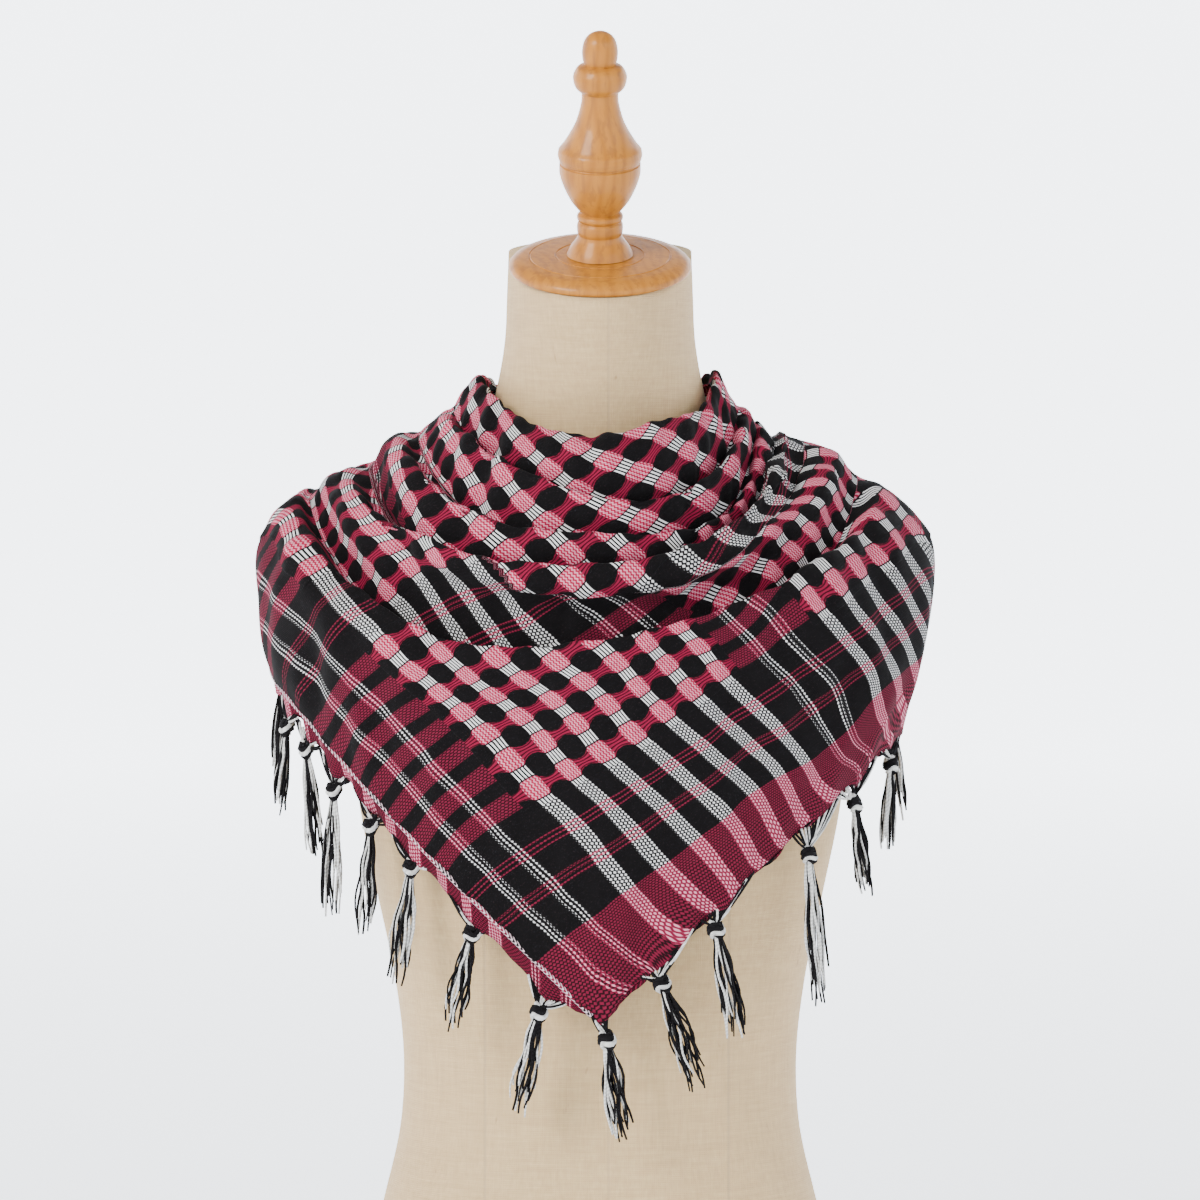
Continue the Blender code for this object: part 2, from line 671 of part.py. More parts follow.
def strand(bm, face, first, second):
    """One lock of threads: a face drawn out in two moves, thinner at its end."""
    for move, scale in ((first, 0.95), (second, 0.6)):
        face = bmesh.ops.extrude_discrete_faces(bm, faces=[face])["faces"][0]
        centre = face.calc_center_median()
        for vert in face.verts:
            vert.co = centre + (vert.co - centre) * scale + move


def edge_chord(angle):
    """The place of an angle on the edge of the solids, and the edge's direction there."""
    columns = FRONT_ANGLES
    if abs(angle) > SEAM_ANGLE:
        columns = [math.copysign(a, angle) for a in BACK_ANGLES]
    before = max(a for a in columns if a <= angle)
    after = min(a for a in columns if a > angle)
    start = drape_point(EDGE_ROW, before)
    run = drape_point(EDGE_ROW, after) - start
    return start + run * (angle - before) / (after - before), unit(run)


def edge_tassels(group, table, lift, thread):
    """Tassels on the front layer's right edge, or the under layer's left one."""
    for number, row in enumerate(table):
        down = edge_down(row.angle)
        normal = drape_normal(EDGE_ROW, row.angle)
        inset = lift if abs(row.angle) < SEAM_ANGLE else COWL_WALL / 2
        root, along = edge_chord(row.angle)
        root = root - normal * inset + down * FAN_GAP
        if -SEAM_ANGLE < row.angle < 0:
            root = root + down * under_edge(row.angle)
        fan_half = FAN_HALF
        if row.name == "tassel_point":
            along = np.array((1.0, 0, 0))
            fan_half = POINT_FAN_HALF
        knot = root + np.array((row.side, 0, -row.drop)) * MM + normal * 1.5 * MM
        end = knot + np.array((row.lean, 0, -row.reach)) * MM
        tassel(group, row.name, root, along, normal, knot, end, number + lift / MM, thread,
               fan_half)


def tail_chord(steps, share, across):
    """The place of a share on a side edge of a tail's solid, and the edge's direction there."""
    step = min(int(share * TAIL_ROWS), TAIL_ROWS - 1)
    start = tail_point(steps, step / TAIL_ROWS, across)
    run = tail_point(steps, (step + 1) / TAIL_ROWS, across) - start
    return start + run * (share * TAIL_ROWS - step), unit(run)


def tail_tassels(group, prefix, steps, places, side, thread):
    """Tassels down the outer edge of a tail, the last one at its corner."""
    for number, (share, lift) in enumerate(places):
        fan_half = TAIL_FAN_HALF
        root, along = tail_chord(steps, share, side)
        out = unit(np.array((-along[2], 0, along[0]))) * side
        hang = out * 9 + np.array((0, lift, -5))
        if share == 1:
            fan_half = POINT_FAN_HALF
            root = tail_point(steps, share, 0)
            along = np.array((1.0, 0, 0))
            out = np.array((0, 0, -1.0))
            hang = np.array((side, lift, -11))
        root = root + out * FAN_GAP
        knot = root + hang * MM
        end = knot + np.array((side * 6.0, 3.0, -55.0)) * MM
        face = unit(np.cross(along, out))
        if face[1] < 0:
            face = -face
        name = f"{prefix}_{number + 1}"
        tassel(group, name, root, along, face, knot, end, number + 5 * side, thread, fan_half)


def build():
    clear_scene()
    group = make_collection("shemagh_on_dress_form")
    linen = make_material("linen")
    wood = make_material("varnished_wood")
    weave = make_material("scarf_weave")
    thread = make_material("thread")
    form_torso(group, linen)
    turned_piece(group, "neck_cap", CAP_PROFILE, CAP_CENTRE, CAP_STEPS, wood)
    seat = CAP_CENTRE + neck_axis() * FINIAL_SEAT
    turned_piece(group, "finial", FINIAL_PROFILE, seat, FINIAL_STEPS, wood)
    cowl(group, weave)
    front_panel(group, weave)
    under_panel(group, weave)
    back_piece(group, "back_left", -1, weave)
    back_piece(group, "back_right", 1, weave)
    nape_knot(group, weave)
    tail(group, "tail_left", TAIL_LEFT, weave)
    tail(group, "tail_right", TAIL_RIGHT, weave)
    edge_tassels(group, FRONT_TASSELS, CLOTH_WALL / 2, thread)
    edge_tassels(group, UNDER_TASSELS, CLOTH_WALL * 1.5 + GAP, thread)
    tail_tassels(group, "tassel_tail_right", TAIL_RIGHT, TAIL_TASSELS_RIGHT, 1, thread)
    tail_tassels(group, "tassel_tail_left", TAIL_LEFT, TAIL_TASSELS_LEFT, -1, thread)


build()
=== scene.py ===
# %% [markdown]
# # A shemagh on a dress form
# A shemagh is a square of cotton, checked in black, white and magenta. Here it is folded once, a
# little off its diagonal, and laid round the neck of a padded dress form, its point in front and
# its two ends knotted behind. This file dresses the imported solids: each cell makes one piece or
# one finish, and says why it is made that way. Metres, +Z up, the front towards -Y.

# %% Load the frame
import math
import random
from collections import namedtuple

import bmesh
import bpy
import numpy as np
from mathutils import Matrix, Vector


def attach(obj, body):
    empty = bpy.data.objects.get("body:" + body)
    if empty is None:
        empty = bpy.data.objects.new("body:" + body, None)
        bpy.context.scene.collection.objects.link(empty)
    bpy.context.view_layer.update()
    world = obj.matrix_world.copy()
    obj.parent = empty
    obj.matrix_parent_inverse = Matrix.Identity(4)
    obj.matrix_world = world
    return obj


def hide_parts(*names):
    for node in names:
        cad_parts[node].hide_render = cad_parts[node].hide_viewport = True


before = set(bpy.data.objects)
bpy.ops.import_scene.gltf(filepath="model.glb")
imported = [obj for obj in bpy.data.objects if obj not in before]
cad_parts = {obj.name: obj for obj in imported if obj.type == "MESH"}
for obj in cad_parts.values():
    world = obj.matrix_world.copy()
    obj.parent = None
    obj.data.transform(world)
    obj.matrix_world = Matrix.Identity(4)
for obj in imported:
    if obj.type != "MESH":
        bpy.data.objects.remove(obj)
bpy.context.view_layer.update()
MM = 0.001

# %% [markdown]
# ## The camera
# The photograph is taken from the front with a long lens, a little above the middle of the
# form. A long lens far away keeps the folds flat, as a catalogue picture does.

# %% The camera
CAMERA_AWAY = 4.0
CAMERA_TILT = math.radians(3)
CAMERA_AIM = Vector((0, 0, 0.49))
FRAME_WIDE = 0.72                   # what the picture shows at the form's middle, in metres

back = Vector((0, -math.cos(CAMERA_TILT), math.sin(CAMERA_TILT)))
camera = bpy.data.objects.new("camera", bpy.data.cameras.new("camera"))
bpy.context.scene.collection.objects.link(camera)
bpy.context.scene.camera = camera
camera.location = CAMERA_AIM + back * CAMERA_AWAY
camera.rotation_euler = (-back).to_track_quat("-Z", "Y").to_euler()
camera.data.sensor_width = 36
camera.data.lens = 36 * CAMERA_AWAY / FRAME_WIDE
camera.data.clip_end = 60
print("camera at", tuple(round(c, 3) for c in camera.location), "lens", camera.data.lens)

# %% [markdown]
# ## Wiring a material
# A weave is arithmetic: which thread is on top depends on where you are in the cloth. Blender
# does arithmetic with Math nodes, and wiring them by hand is slow. This small class lets one
# socket be added, multiplied and compared with the usual signs, and makes the nodes itself.


# %% Sockets that can be added and multiplied
class Wire:
    """One number in a material's node tree."""

    def __init__(self, tree, socket):
        self.tree = tree
        self.socket = socket

    def math(self, operation, *others, clamp=False):
        node = self.tree.nodes.new("ShaderNodeMath")
        node.operation = operation
        node.use_clamp = clamp
        for place, value in zip(node.inputs, (self, *others)):
            plug(self.tree, place, value)
        return Wire(self.tree, node.outputs[0])

    def __add__(self, other):
        return self.math("ADD", other)

    def __sub__(self, other):
        return self.math("SUBTRACT", other)

    def __rsub__(self, other):
        return (self * -1) + other

    def __mul__(self, other):
        return self.math("MULTIPLY", other)

    def __truediv__(self, other):
        return self.math("DIVIDE", other)

    def __mod__(self, other):
        return self.math("FLOORED_MODULO", other)

    def __abs__(self):
        return self.math("ABSOLUTE")

    def floor(self):
        return self.math("FLOOR")

    def power(self, exponent):
        return self.math("POWER", exponent)

    def cos(self, period):
        """A wave that is 1 at 0 and comes back after a period."""
        return (self * (2 * math.pi / period)).math("COSINE")

    def under(self, limit, soft=0.3):
        """1 below the limit and 0 above it, with a soft step between."""
        return ((self - limit) * (-1 / soft)).math("ADD", 0.5, clamp=True)

    def over(self, limit, soft=0.3):
        return ((self - limit) * (1 / soft)).math("ADD", 0.5, clamp=True)

    def clamped(self):
        """The same number, but never under 0 or over 1."""
        return self.math("ADD", 0, clamp=True)

    def lower(self, other):
        return self.math("MINIMUM", other)

    def higher(self, other):
        return self.math("MAXIMUM", other)


def plug(tree, place, value):
    """Puts a number, a colour or another node's socket into a socket."""
    if isinstance(value, Wire):
        value = value.socket
    if isinstance(value, bpy.types.NodeSocket):
        tree.links.new(value, place)
    elif isinstance(value, tuple) and len(value) == 3 and place.type == "RGBA":
        place.default_value = (*value, 1)
    else:
        place.default_value = value


# %% [markdown]
# ### Nodes that every finish uses
# A finish needs the same few nodes again and again: a mix of two colours, cloudy noise, a place
# on the piece, and a relief. Each has a small function here, so that a material further down
# reads like a recipe.


# %% Colours, noise and relief
def blend_colour(tree, share, first, second):
    """The first colour where share is 0 and the second where it is 1."""
    node = tree.nodes.new("ShaderNodeMix")
    node.data_type = "RGBA"
    plug(tree, node.inputs[0], share)
    plug(tree, node.inputs[6], first)
    plug(tree, node.inputs[7], second)
    return node.outputs[2]


def noise(tree, place, scale, detail=2.0, rough=0.5, spread=(1, 1, 1)):
    """Cloudy noise over a place, drawn out along the axes by spread."""
    mapping = tree.nodes.new("ShaderNodeMapping")
    mapping.inputs["Scale"].default_value = spread
    plug(tree, mapping.inputs["Vector"], place)
    node = tree.nodes.new("ShaderNodeTexNoise")
    node.inputs["Scale"].default_value = scale
    node.inputs["Detail"].default_value = detail
    node.inputs["Roughness"].default_value = rough
    plug(tree, node.inputs["Vector"], mapping.outputs[0])
    return Wire(tree, node.outputs["Fac"])


def new_material(name, **settings):
    """A material with its Principled shader, whose constant sockets are set at once."""
    material = bpy.data.materials.new(name)
    material.use_nodes = True
    tree = material.node_tree
    shader = tree.nodes["Principled BSDF"]
    for socket, value in settings.items():
        plug(tree, shader.inputs[socket.replace("_", " ")], value)
    return material, tree, shader


def uv_place(tree, name):
    node = tree.nodes.new("ShaderNodeUVMap")
    node.uv_map = name
    return node.outputs[0]


def object_place(tree):
    return tree.nodes.new("ShaderNodeTexCoord").outputs["Object"]


def split(tree, place):
    node = tree.nodes.new("ShaderNodeSeparateXYZ")
    plug(tree, node.inputs[0], place)
    return [Wire(tree, socket) for socket in node.outputs]


def raise_by(tree, height, distance, strength=1.0, below=None):
    """A relief: height runs from 0 to 1 over the distance, on top of the relief below."""
    node = tree.nodes.new("ShaderNodeBump")
    node.inputs["Distance"].default_value = distance
    node.inputs["Strength"].default_value = strength
    plug(tree, node.inputs["Height"], height)
    if below:
        plug(tree, node.inputs["Normal"], below)
    return node.outputs[0]


# %% [markdown]
# ## The weave
# The cloth is woven from black and white warp and black and magenta weft. From each edge inwards
# come thin lines in threes, seven broad stripes, thin lines again, and then the middle field,
# where broad stripes follow each other all the way. Where the stripes of warp and weft cross,
# the threads skip over each other in floats, and the cloth puckers into pink blocks, white and
# crimson floats and round black cushions. The numbers below are the cloth's own, in millimetres
# from its corner, so the pattern goes wherever the cloth goes.

# %% The pattern's numbers
CLOTH_WIDE = 940.0                  # along the weft, from one selvedge to the other
CLOTH_LONG = 982.0                  # along the warp, from one fringe to the other
WARP_LINES = (17.5, 37.0, 241.0, 260.0)
WARP_BORDER = (55.0, 223.0)         # seven white stripes near each selvedge
WARP_FIELD = 278.0                  # the field starts this far from each selvedge
WARP_STRIPE = 24.0                  # from one broad white stripe to the next
WARP_HALF = 5.15                    # half a white stripe
WEFT_LINES = (61.0, 84.0, 270.0, 293.0)
WEFT_BORDER = (103.5, 250.5)
WEFT_FIELD = 312.5
WEFT_STRIPE = 21.0
WEFT_HALF = 6.0                     # half a magenta bar
WEFT_BAND = 35.0                    # the magenta band at both fringes

WARP_ROW = 2.05                     # from one white warp thread to the next
WARP_DASH = 2.3                     # how often it goes under the weft
WEFT_ROW = 1.5                      # the same two for the magenta weft
WEFT_DASH = 2.1
BLOCK_HALF = (5.9, 6.3)             # a pink block's half width and half length
FLOAT_NECK = 6.5                    # past here the white float is about a sixth narrower
FLOAT_FROM = 7.1                    # where a white float comes out from under its block
FLOAT_HALF = 5.3
FLOAT_STRAND = 2.4                  # from one strand of it to the next
RED_FLOAT = 4.3                     # half a crimson float
RED_STRAND = 1.55

BLACK = (0.0032, 0.0027, 0.0030)
WHITE = (0.60, 0.59, 0.58)
MAGENTA = (0.145, 0.008, 0.027)
CRIMSON = (0.19, 0.006, 0.029)
ROSE = (0.27, 0.0085, 0.036)        # crimson weft seen between white warp
BLUSH = (0.58, 0.21, 0.27)          # white warp with crimson showing through
print("cloth", CLOTH_WIDE, "by", CLOTH_LONG, "mm")

# %% [markdown]
# ### Stripes by reckoning
# The stripes are counted from both edges inwards, so the distance to the nearer edge tells which
# zone a thread is in. The remainder of that distance, divided by the pitch, tells how far it is
# from the middle of its own stripe. An image could hold the stripes too, but it would blur close
# up.


# %% Stripes and thin lines
def stripes(wire, whole, border, field, pitch):
    """How far a place is from the middle of its broad stripe, and if it has one at all."""
    edge = whole / 2 - abs(wire - whole / 2)
    in_field = edge.over(field, 0.1)
    here = edge.over(border[0], 0.1) * edge.under(border[1], 0.1) + edge.over(field + 0.3, 0.2)
    offset = (edge - border[0] - in_field * (field - border[0])) % pitch - pitch / 2
    return edge, offset, here


def thin_lines(edge, centres, period=2.7, half=0.62):
    """Three thin lines round each centre."""
    away = abs(edge - centres[0])
    for centre in centres[1:]:
        away = away.lower(abs(edge - centre))
    ripple = abs((away + period / 2) % period - period / 2)
    return ripple.under(half, 0.35) * away.under(period * 1.5, 0.2)


# %% [markdown]
# ### The weave as a material
# First comes which colours cross at a place, then how the rows of threads lie in the plain
# weave, then the floats and blocks of the check. The same numbers raise the yarns in the relief,
# on top of a soft swelling of the whole check.


# %% The weave
def weave_material(name):
    """The shemagh's cloth, from its own coordinates in the map called cloth."""
    material, tree, shader = new_material(name, Roughness=0.9, Sheen_Weight=0.015,
                                          Sheen_Roughness=0.5, Specular_IOR_Level=0.06)
    place = uv_place(tree, "cloth")
    u, v, _ = split(tree, place)
    u = u * 1000 + (noise(tree, place, 55, 1.0) - 0.5) * 1.8
    v = v * 1000 + (noise(tree, place, 47, 1.0) - 0.5) * 1.8
    edge_u, a, warp_zone = stripes(u, CLOTH_WIDE, WARP_BORDER, WARP_FIELD, WARP_STRIPE)
    edge_v, b, weft_zone = stripes(v, CLOTH_LONG, WEFT_BORDER, WEFT_FIELD, WEFT_STRIPE)
    from_a = abs(a)
    from_b = abs(b)
    check = warp_zone * weft_zone

    # which colours cross here
    white = (from_a.under(WARP_HALF, 0.4) * warp_zone).higher(thin_lines(edge_u, WARP_LINES))
    bar = from_b.under(WEFT_HALF, 0.6) * weft_zone
    band = edge_v.under(WEFT_BAND, 0.5)
    magenta = bar.higher(band).higher(thin_lines(edge_v, WEFT_LINES))

    # the plain weave: rows of dashes, each row shifted against the last
    row = (a + WARP_STRIPE / 2) / WARP_ROW
    dash = (v / WARP_DASH + (row + 0.5).floor() * 0.5).cos(1.0)
    warp_up = (row.cos(1.0) * 0.5 + dash * 0.5).over(0.2, 0.5)
    pick = v / WEFT_ROW
    float_up = (u / WEFT_DASH + (pick + 0.5).floor() * 0.5).cos(1.0)
    weft_up = (pick.cos(1.0) * 0.55 + float_up * 0.55).over(0.05, 0.5)
    speck = noise(tree, place, 900, 2.0).over(0.66, 0.1)
    ground = blend_colour(tree, speck * 0.3, BLACK, (0.035, 0.022, 0.024))
    dark_red = blend_colour(tree, weft_up * 0.85 + 0.06, BLACK, MAGENTA)
    grey = blend_colour(tree, warp_up, BLACK, WHITE)
    dull_pink = blend_colour(tree, warp_up, MAGENTA, BLUSH)
    plain = blend_colour(tree, magenta, ground, dark_red)
    striped = blend_colour(tree, magenta, grey, dull_pink)
    colour = blend_colour(tree, white, plain, striped)

    # the check: pink blocks, white floats, crimson floats and black cushions
    block = ((from_a / BLOCK_HALF[0]).power(6) + (from_b / BLOCK_HALF[1]).power(5)).under(1.0, 0.35)
    wave = (v / WARP_DASH).cos(1.0) * 0.36
    block_line = (a + wave).cos(WARP_ROW).over(0.1, 0.55)
    block_colour = blend_colour(tree, block_line, ROSE, BLUSH)
    worn = (noise(tree, place, 330, 2.0) - 0.42).math("MULTIPLY", 3.0, clamp=True)
    block_colour = blend_colour(tree, worn * 0.4, block_colour, (0.15, 0.007, 0.026))
    past = from_b.over(FLOAT_FROM, 0.3) * (1 - block)
    waist = from_a * ((from_b - FLOAT_NECK).clamped() * 0.2 + 1)
    white_float = past * waist.cos(FLOAT_STRAND).over(-0.08, 0.35) * waist.under(FLOAT_HALF, 0.3)
    near = (WARP_STRIPE / 2 - from_a) / 6.4
    bow = near * near
    hidden = noise(tree, place, 40, 1.0) * 1.6 + noise(tree, place, 420, 1.0) * 1.4
    red_float = (from_b - bow * 2.3 + hidden).under(RED_FLOAT, 0.5) * from_a.over(5.4, 0.4) * (1 - block)
    strand = (b / (bow * 0.8 + 1)).cos(RED_STRAND).over(-0.3, 0.7)
    checked = blend_colour(tree, red_float * (strand * 0.85 + 0.15), ground, CRIMSON)
    checked = blend_colour(tree, white_float, checked, WHITE)
    checked = blend_colour(tree, block, checked, block_colour)
    colour = blend_colour(tree, check, colour, checked)
    plug(tree, shader.inputs["Base Color"], colour)

    swell = (a.cos(WARP_STRIPE) * b.cos(WEFT_STRIPE) * 0.5 + 0.5) * check
    body = raise_by(tree, swell, 1.5 * MM, 0.7)
    yarn = (warp_up * white * (1 - check) + weft_up * magenta * 0.6 * (1 - white)
            + block_line * block * check + red_float * strand * check + white_float * check * 0.7)
    grain = (pick.cos(1.0) + (u / 0.9).cos(1.0)) * 0.12
    plug(tree, shader.inputs["Normal"], raise_by(tree, yarn + grain, 0.35 * MM, 0.6, body))
    return material


scarf_weave = weave_material("scarf_weave")
print("weave nodes", len(scarf_weave.node_tree.nodes))

# %% [markdown]
# ## How the cloth falls
# The scarf's form is a table of folds. Each row is one line of the cloth that runs round the
# body, from the inside of the neckline down to the edge: its half widths over the shoulders,
# its depth in front, nine heights round the body, and how the cloth swags into the furrow
# above it. A smooth curve through the rows, and one through the angles, gives every point. The
# solids are made from the same table, so the fine cloth lies where they lie.

# %% The table of folds
Fold = namedtuple("Fold", "name left right depth heights back nape swag tuck dip point")
HEIGHT_ANGLES = (-135, -90, -60, -30, 0, 30, 60, 90, 135)
SHOULDER_BACK = 0.72
NAPE_ANGLE = 172
NAPE_X = 26.2
FOLDS = (
    Fold("inside", 68, 67, 84, (607, 615, 602, 585, 581, 588, 597, 618, 607),
         43, (66, 592), 0, 0, 0, 0),
    Fold("neckline", 72, 70, 94, (613, 624, 612, 596, 591, 599, 606, 626, 613),
         46, (70, 599), 0, 0, 0, 0),
    Fold("first_band", 80, 76, 106, (604, 617, 601, 582, 571, 576, 592, 614, 604),
         54, (76, 597), 0, 0, 0, 0),
    Fold("second_crest", 95, 89, 113, (594, 601, 592, 571, 555, 556, 577, 602, 594),
         62, (79, 592), 13, 11, 5, 0),
    Fold("third_crest", 123, 97, 121, (581, 588, 569, 541, 535, 536, 552, 592, 586),
         70, (82, 587), 14, 12, 6, 0),
    Fold("fourth_crest", 152, 111, 130, (566, 567, 547, 522, 518, 529, 555, 587, 578),
         77, (84, 582), 14, 12, 6, 0),
    Fold("fourth_lip", 157, 114, 132, (562, 563, 539, 512, 504, 518, 548, 585, 575),
         79, (85, 579), 0, 0, 0, 0),
    Fold("recess", 165, 140, 119, (556, 560, 530, 498, 487, 504, 543, 577, 562),
         82, (86, 575), 0, 0, 0, 0),
    Fold("great_crest", 183, 168, 143, (545, 552, 517, 474, 474, 497, 527, 557, 548),
         89, (87, 571), 26, 18, 6, 0),
    Fold("yoke", 204, 189, 143, (520, 523, 494, 444, 431, 456, 494, 538, 527),
         98, (88, 566), 0, 0, 0, 0.1),
    Fold("chest", 205, 200, 134, (496, 490, 461, 403, 364, 400, 449, 514, 504),
         103, (89, 562), 0, 0, 0, 0.4),
    Fold("belly", 203, 195, 127, (476, 469, 437, 370, 299, 364, 420, 466, 478),
         105, (90, 558), 0, 0, 0, 0.85),
    Fold("edge", 198, 181, 122, (458, 451, 419, 344, 248, 333, 390, 415, 450),
         106, (91, 554), 0, 0, 0, 1),
)

# Soft ridges and troughs that cross the rows, as seen from the front or from behind.
Crease = namedtuple("Crease", "side_0 height_0 side_1 height_1 width rise")
FRONT_CREASES = (
    Crease(-143, 574, -112, 518, 6, -4.5),
    Crease(-128, 582, -92, 528, 6, 3.5),
    Crease(-112, 588, -78, 540, 5, -3.5),
    Crease(-176, 556, -140, 500, 8, -4.0),
    Crease(-160, 566, -126, 505, 7, 4.0),
    Crease(-190, 540, -158, 478, 9, 3.5),
    Crease(-150, 490, -95, 452, 8, 3.0),
    Crease(-60, 600, -72, 560, 5, -3.0),
    Crease(34, 505, 118, 540, 8, 5.0),
    Crease(58, 494, 132, 545, 6, -4.0),
    Crease(96, 585, 112, 548, 5, 4.0),
    Crease(122, 583, 108, 540, 5, -4.0),
    Crease(140, 575, 120, 520, 6, 3.0),
    Crease(152, 566, 170, 470, 8, -3.0),
    Crease(128, 520, 168, 440, 10, 3.0),
    Crease(96, 494, 140, 404, 11, -3.0),
    Crease(30, 452, 84, 350, 13, 2.5),
    Crease(60, 462, 112, 372, 12, -2.5),
    Crease(-40, 452, -24, 330, 14, -2.5),
    Crease(-150, 462, -132, 392, 8, 3.0),
    Crease(-175, 480, -168, 425, 7, -3.0),
    Crease(-96, 430, -86, 350, 10, 2.5),
)
BACK_CREASES = (
    Crease(34, 572, 150, 520, 7, 3.5),
    Crease(34, 566, 158, 488, 8, -3.5),
    Crease(34, 562, 150, 464, 8, 3.0),
    Crease(40, 586, 120, 556, 5, -3.0),
    Crease(-34, 574, -140, 536, 6, -3.5),
    Crease(-34, 568, -160, 506, 8, 3.5),
    Crease(-34, 563, -156, 474, 8, -3.5),
    Crease(-38, 586, -110, 562, 5, 3.0),
)
CREASE_RISE = 1.25                  # the thin cloth folds a little more sharply than the solids
CREASES_FRONT = 0.02                # metres: behind this the creases of the back take over
FURROW_CLEAR = 0.9                  # rows on both sides of the great furrow without full creases
STATIONS = (-NAPE_ANGLE, -135, -90, -60, -30, 0, 30, 60, 90, 135, NAPE_ANGLE)
FRONT_STATION = STATIONS.index(0)
print("rows in the table", len(FOLDS), "and creases", len(FRONT_CREASES) + len(BACK_CREASES))

# %% [markdown]
# ## From the table to a surface
# A fold has no corners across the cloth, so the values of the table are joined by a cubic curve
# whose slope at each row comes from its neighbours. Blender has curves of its own, but a formula
# gives a point anywhere in one step, and numpy does it for the whole grid at once. Furrows are
# worked out between two crests, and creases are soft ridges laid on the even sheet.

# %% Smooth curves and the surface
def steps(first, last, count):
    return np.linspace(first, last, count + 1)


def shaped(numbers, like):
    """Numbers as a column that multiplies the first axis of an array."""
    return np.reshape(numbers, (-1,) + (1,) * (np.ndim(like) - 1))


def unit(vectors):
    """Each vector of an array with a length of 1."""
    return np.asarray(vectors) / np.linalg.norm(vectors, axis=-1, keepdims=True)


def smooth_curve(knots, values, places):
    """The points at places on a smooth curve through values, which sit at the knots."""
    knots = np.asarray(knots, float)
    values = np.asarray(values, float)
    gaps = np.diff(knots)
    wide = shaped(gaps, values)
    chords = np.diff(values, axis=0) / wide
    middle = (chords[:-1] * wide[1:] + chords[1:] * wide[:-1]) / (wide[:-1] + wide[1:])
    tangents = np.concatenate((chords[:1], middle, chords[-1:]))
    places = np.atleast_1d(np.asarray(places, float))
    left = np.clip(np.searchsorted(knots, places) - 1, 0, len(knots) - 2)
    span = shaped(gaps[left], values)
    t = shaped((places - knots[left]) / gaps[left], values)
    return ((2 * t**3 - 3 * t**2 + 1) * values[left] + (t**3 - 2 * t**2 + t) * span * tangents[left]
            + (3 * t**2 - 2 * t**3) * values[left + 1]
            + (t**3 - t**2) * span * tangents[left + 1])


# %% [markdown]
# ### Rows, crests and furrows
# Each row of the table becomes points at eleven stations round the body. Between two crests of
# the neck folds lies a furrow whose bottom is out of sight, so it is worked out from the rows on
# both its sides: in front it hangs like a swag, and elsewhere it dips only a little.


# %% The rows of the drape
def station_points(fold):
    """One row's points in metres at the stations round the body."""
    heights = dict(zip(HEIGHT_ANGLES, fold.heights))
    points = []
    for angle in STATIONS:
        half = fold.right if angle > 0 else fold.left
        turn = math.radians(angle)
        side = 1 if angle > 0 else -1
        if abs(angle) == NAPE_ANGLE:
            points.append((side * NAPE_X, fold.nape[0], fold.nape[1]))
        elif abs(angle) == 135:
            points.append((side * half * SHOULDER_BACK, fold.back, heights[angle]))
        else:
            points.append((half * math.sin(turn), -fold.depth * math.cos(turn), heights[angle]))
    return np.array(points) * MM


def valley_points(upper, lower, fold):
    """The bottom of the furrow between two crests: a swag in front and a dip elsewhere."""
    points = []
    for angle, above, below in zip(STATIONS, upper, lower):
        turn = math.radians(angle)
        swag = max(0.0, math.cos(turn)) ** 0.7
        inward = np.array((-math.sin(turn), math.cos(turn), 0))
        hang = below + inward * fold.tuck * MM - np.array((0, 0, fold.swag * MM))
        nape = 0.25 if abs(angle) == NAPE_ANGLE else 1.0
        furrow = (above + below) / 2 - np.array((0, 0, fold.dip * MM * nape))
        points.append(hang * swag + furrow * (1 - swag))
    return np.array(points)


ROWS = {}                           # row name: its points at the stations, its corner in front
for fold in FOLDS:
    own = station_points(fold)
    if fold.dip:
        upper = list(ROWS.values())[-1][0]
        ROWS["above_" + fold.name] = (valley_points(upper, own, fold), 0)
    ROWS[fold.name] = (own, fold.point)
ROW_NAMES = list(ROWS)
POCKET_ROW = ROW_NAMES.index("above_great_crest")
CREST_ROW = ROW_NAMES.index("great_crest")
EDGE_ROW = len(ROW_NAMES) - 1
print("rows of the drape", len(ROW_NAMES))


def row_curve(name, angles):
    """The points of one row at the angles, with a corner in front where the row has one."""
    points, corner = ROWS[name]
    even = smooth_curve(STATIONS, points, angles)
    if not corner:
        return even
    left = smooth_curve(STATIONS[:FRONT_STATION + 1], points[:FRONT_STATION + 1], angles)
    right = smooth_curve(STATIONS[FRONT_STATION:], points[FRONT_STATION:], angles)
    cornered = np.where(shaped(np.asarray(angles) < 0, left), left, right)
    return even * (1 - corner) + cornered * corner


# %% [markdown]
# ### Creases on an even sheet
# Real cloth has small ridges and troughs that cross the folds. Each is a line as seen from the
# front or from behind, with a width and a rise; it moves the even sheet along its normals and
# fades at both ends. As they are kept apart from the table, each can be added or taken away.


# %% The sheet with its creases
def grid_normals(points):
    """The outward direction at each point of a grid whose rows run down and columns round."""
    down = np.gradient(points, axis=0)
    across = np.gradient(points, axis=1)
    return unit(np.cross(down, across))


def crease_rise(points, creases):
    """How far some creases lift the cloth at the points, in metres."""
    seen = points[..., [0, 2]] / MM
    rise = np.zeros(seen.shape[:-1])
    for crease in creases:
        start = np.array((crease.side_0, crease.height_0))
        run = np.array((crease.side_1, crease.height_1)) - start
        offset = seen - start
        share = np.clip(offset @ run / (run @ run), 0, 1)
        away = np.linalg.norm(offset - share[..., None] * run, axis=-1) / crease.width
        fade = np.sin(math.pi * (0.06 + 0.88 * share)) ** 0.6
        rise += crease.rise * CREASE_RISE * MM * fade * np.exp(-away * away)
    return rise


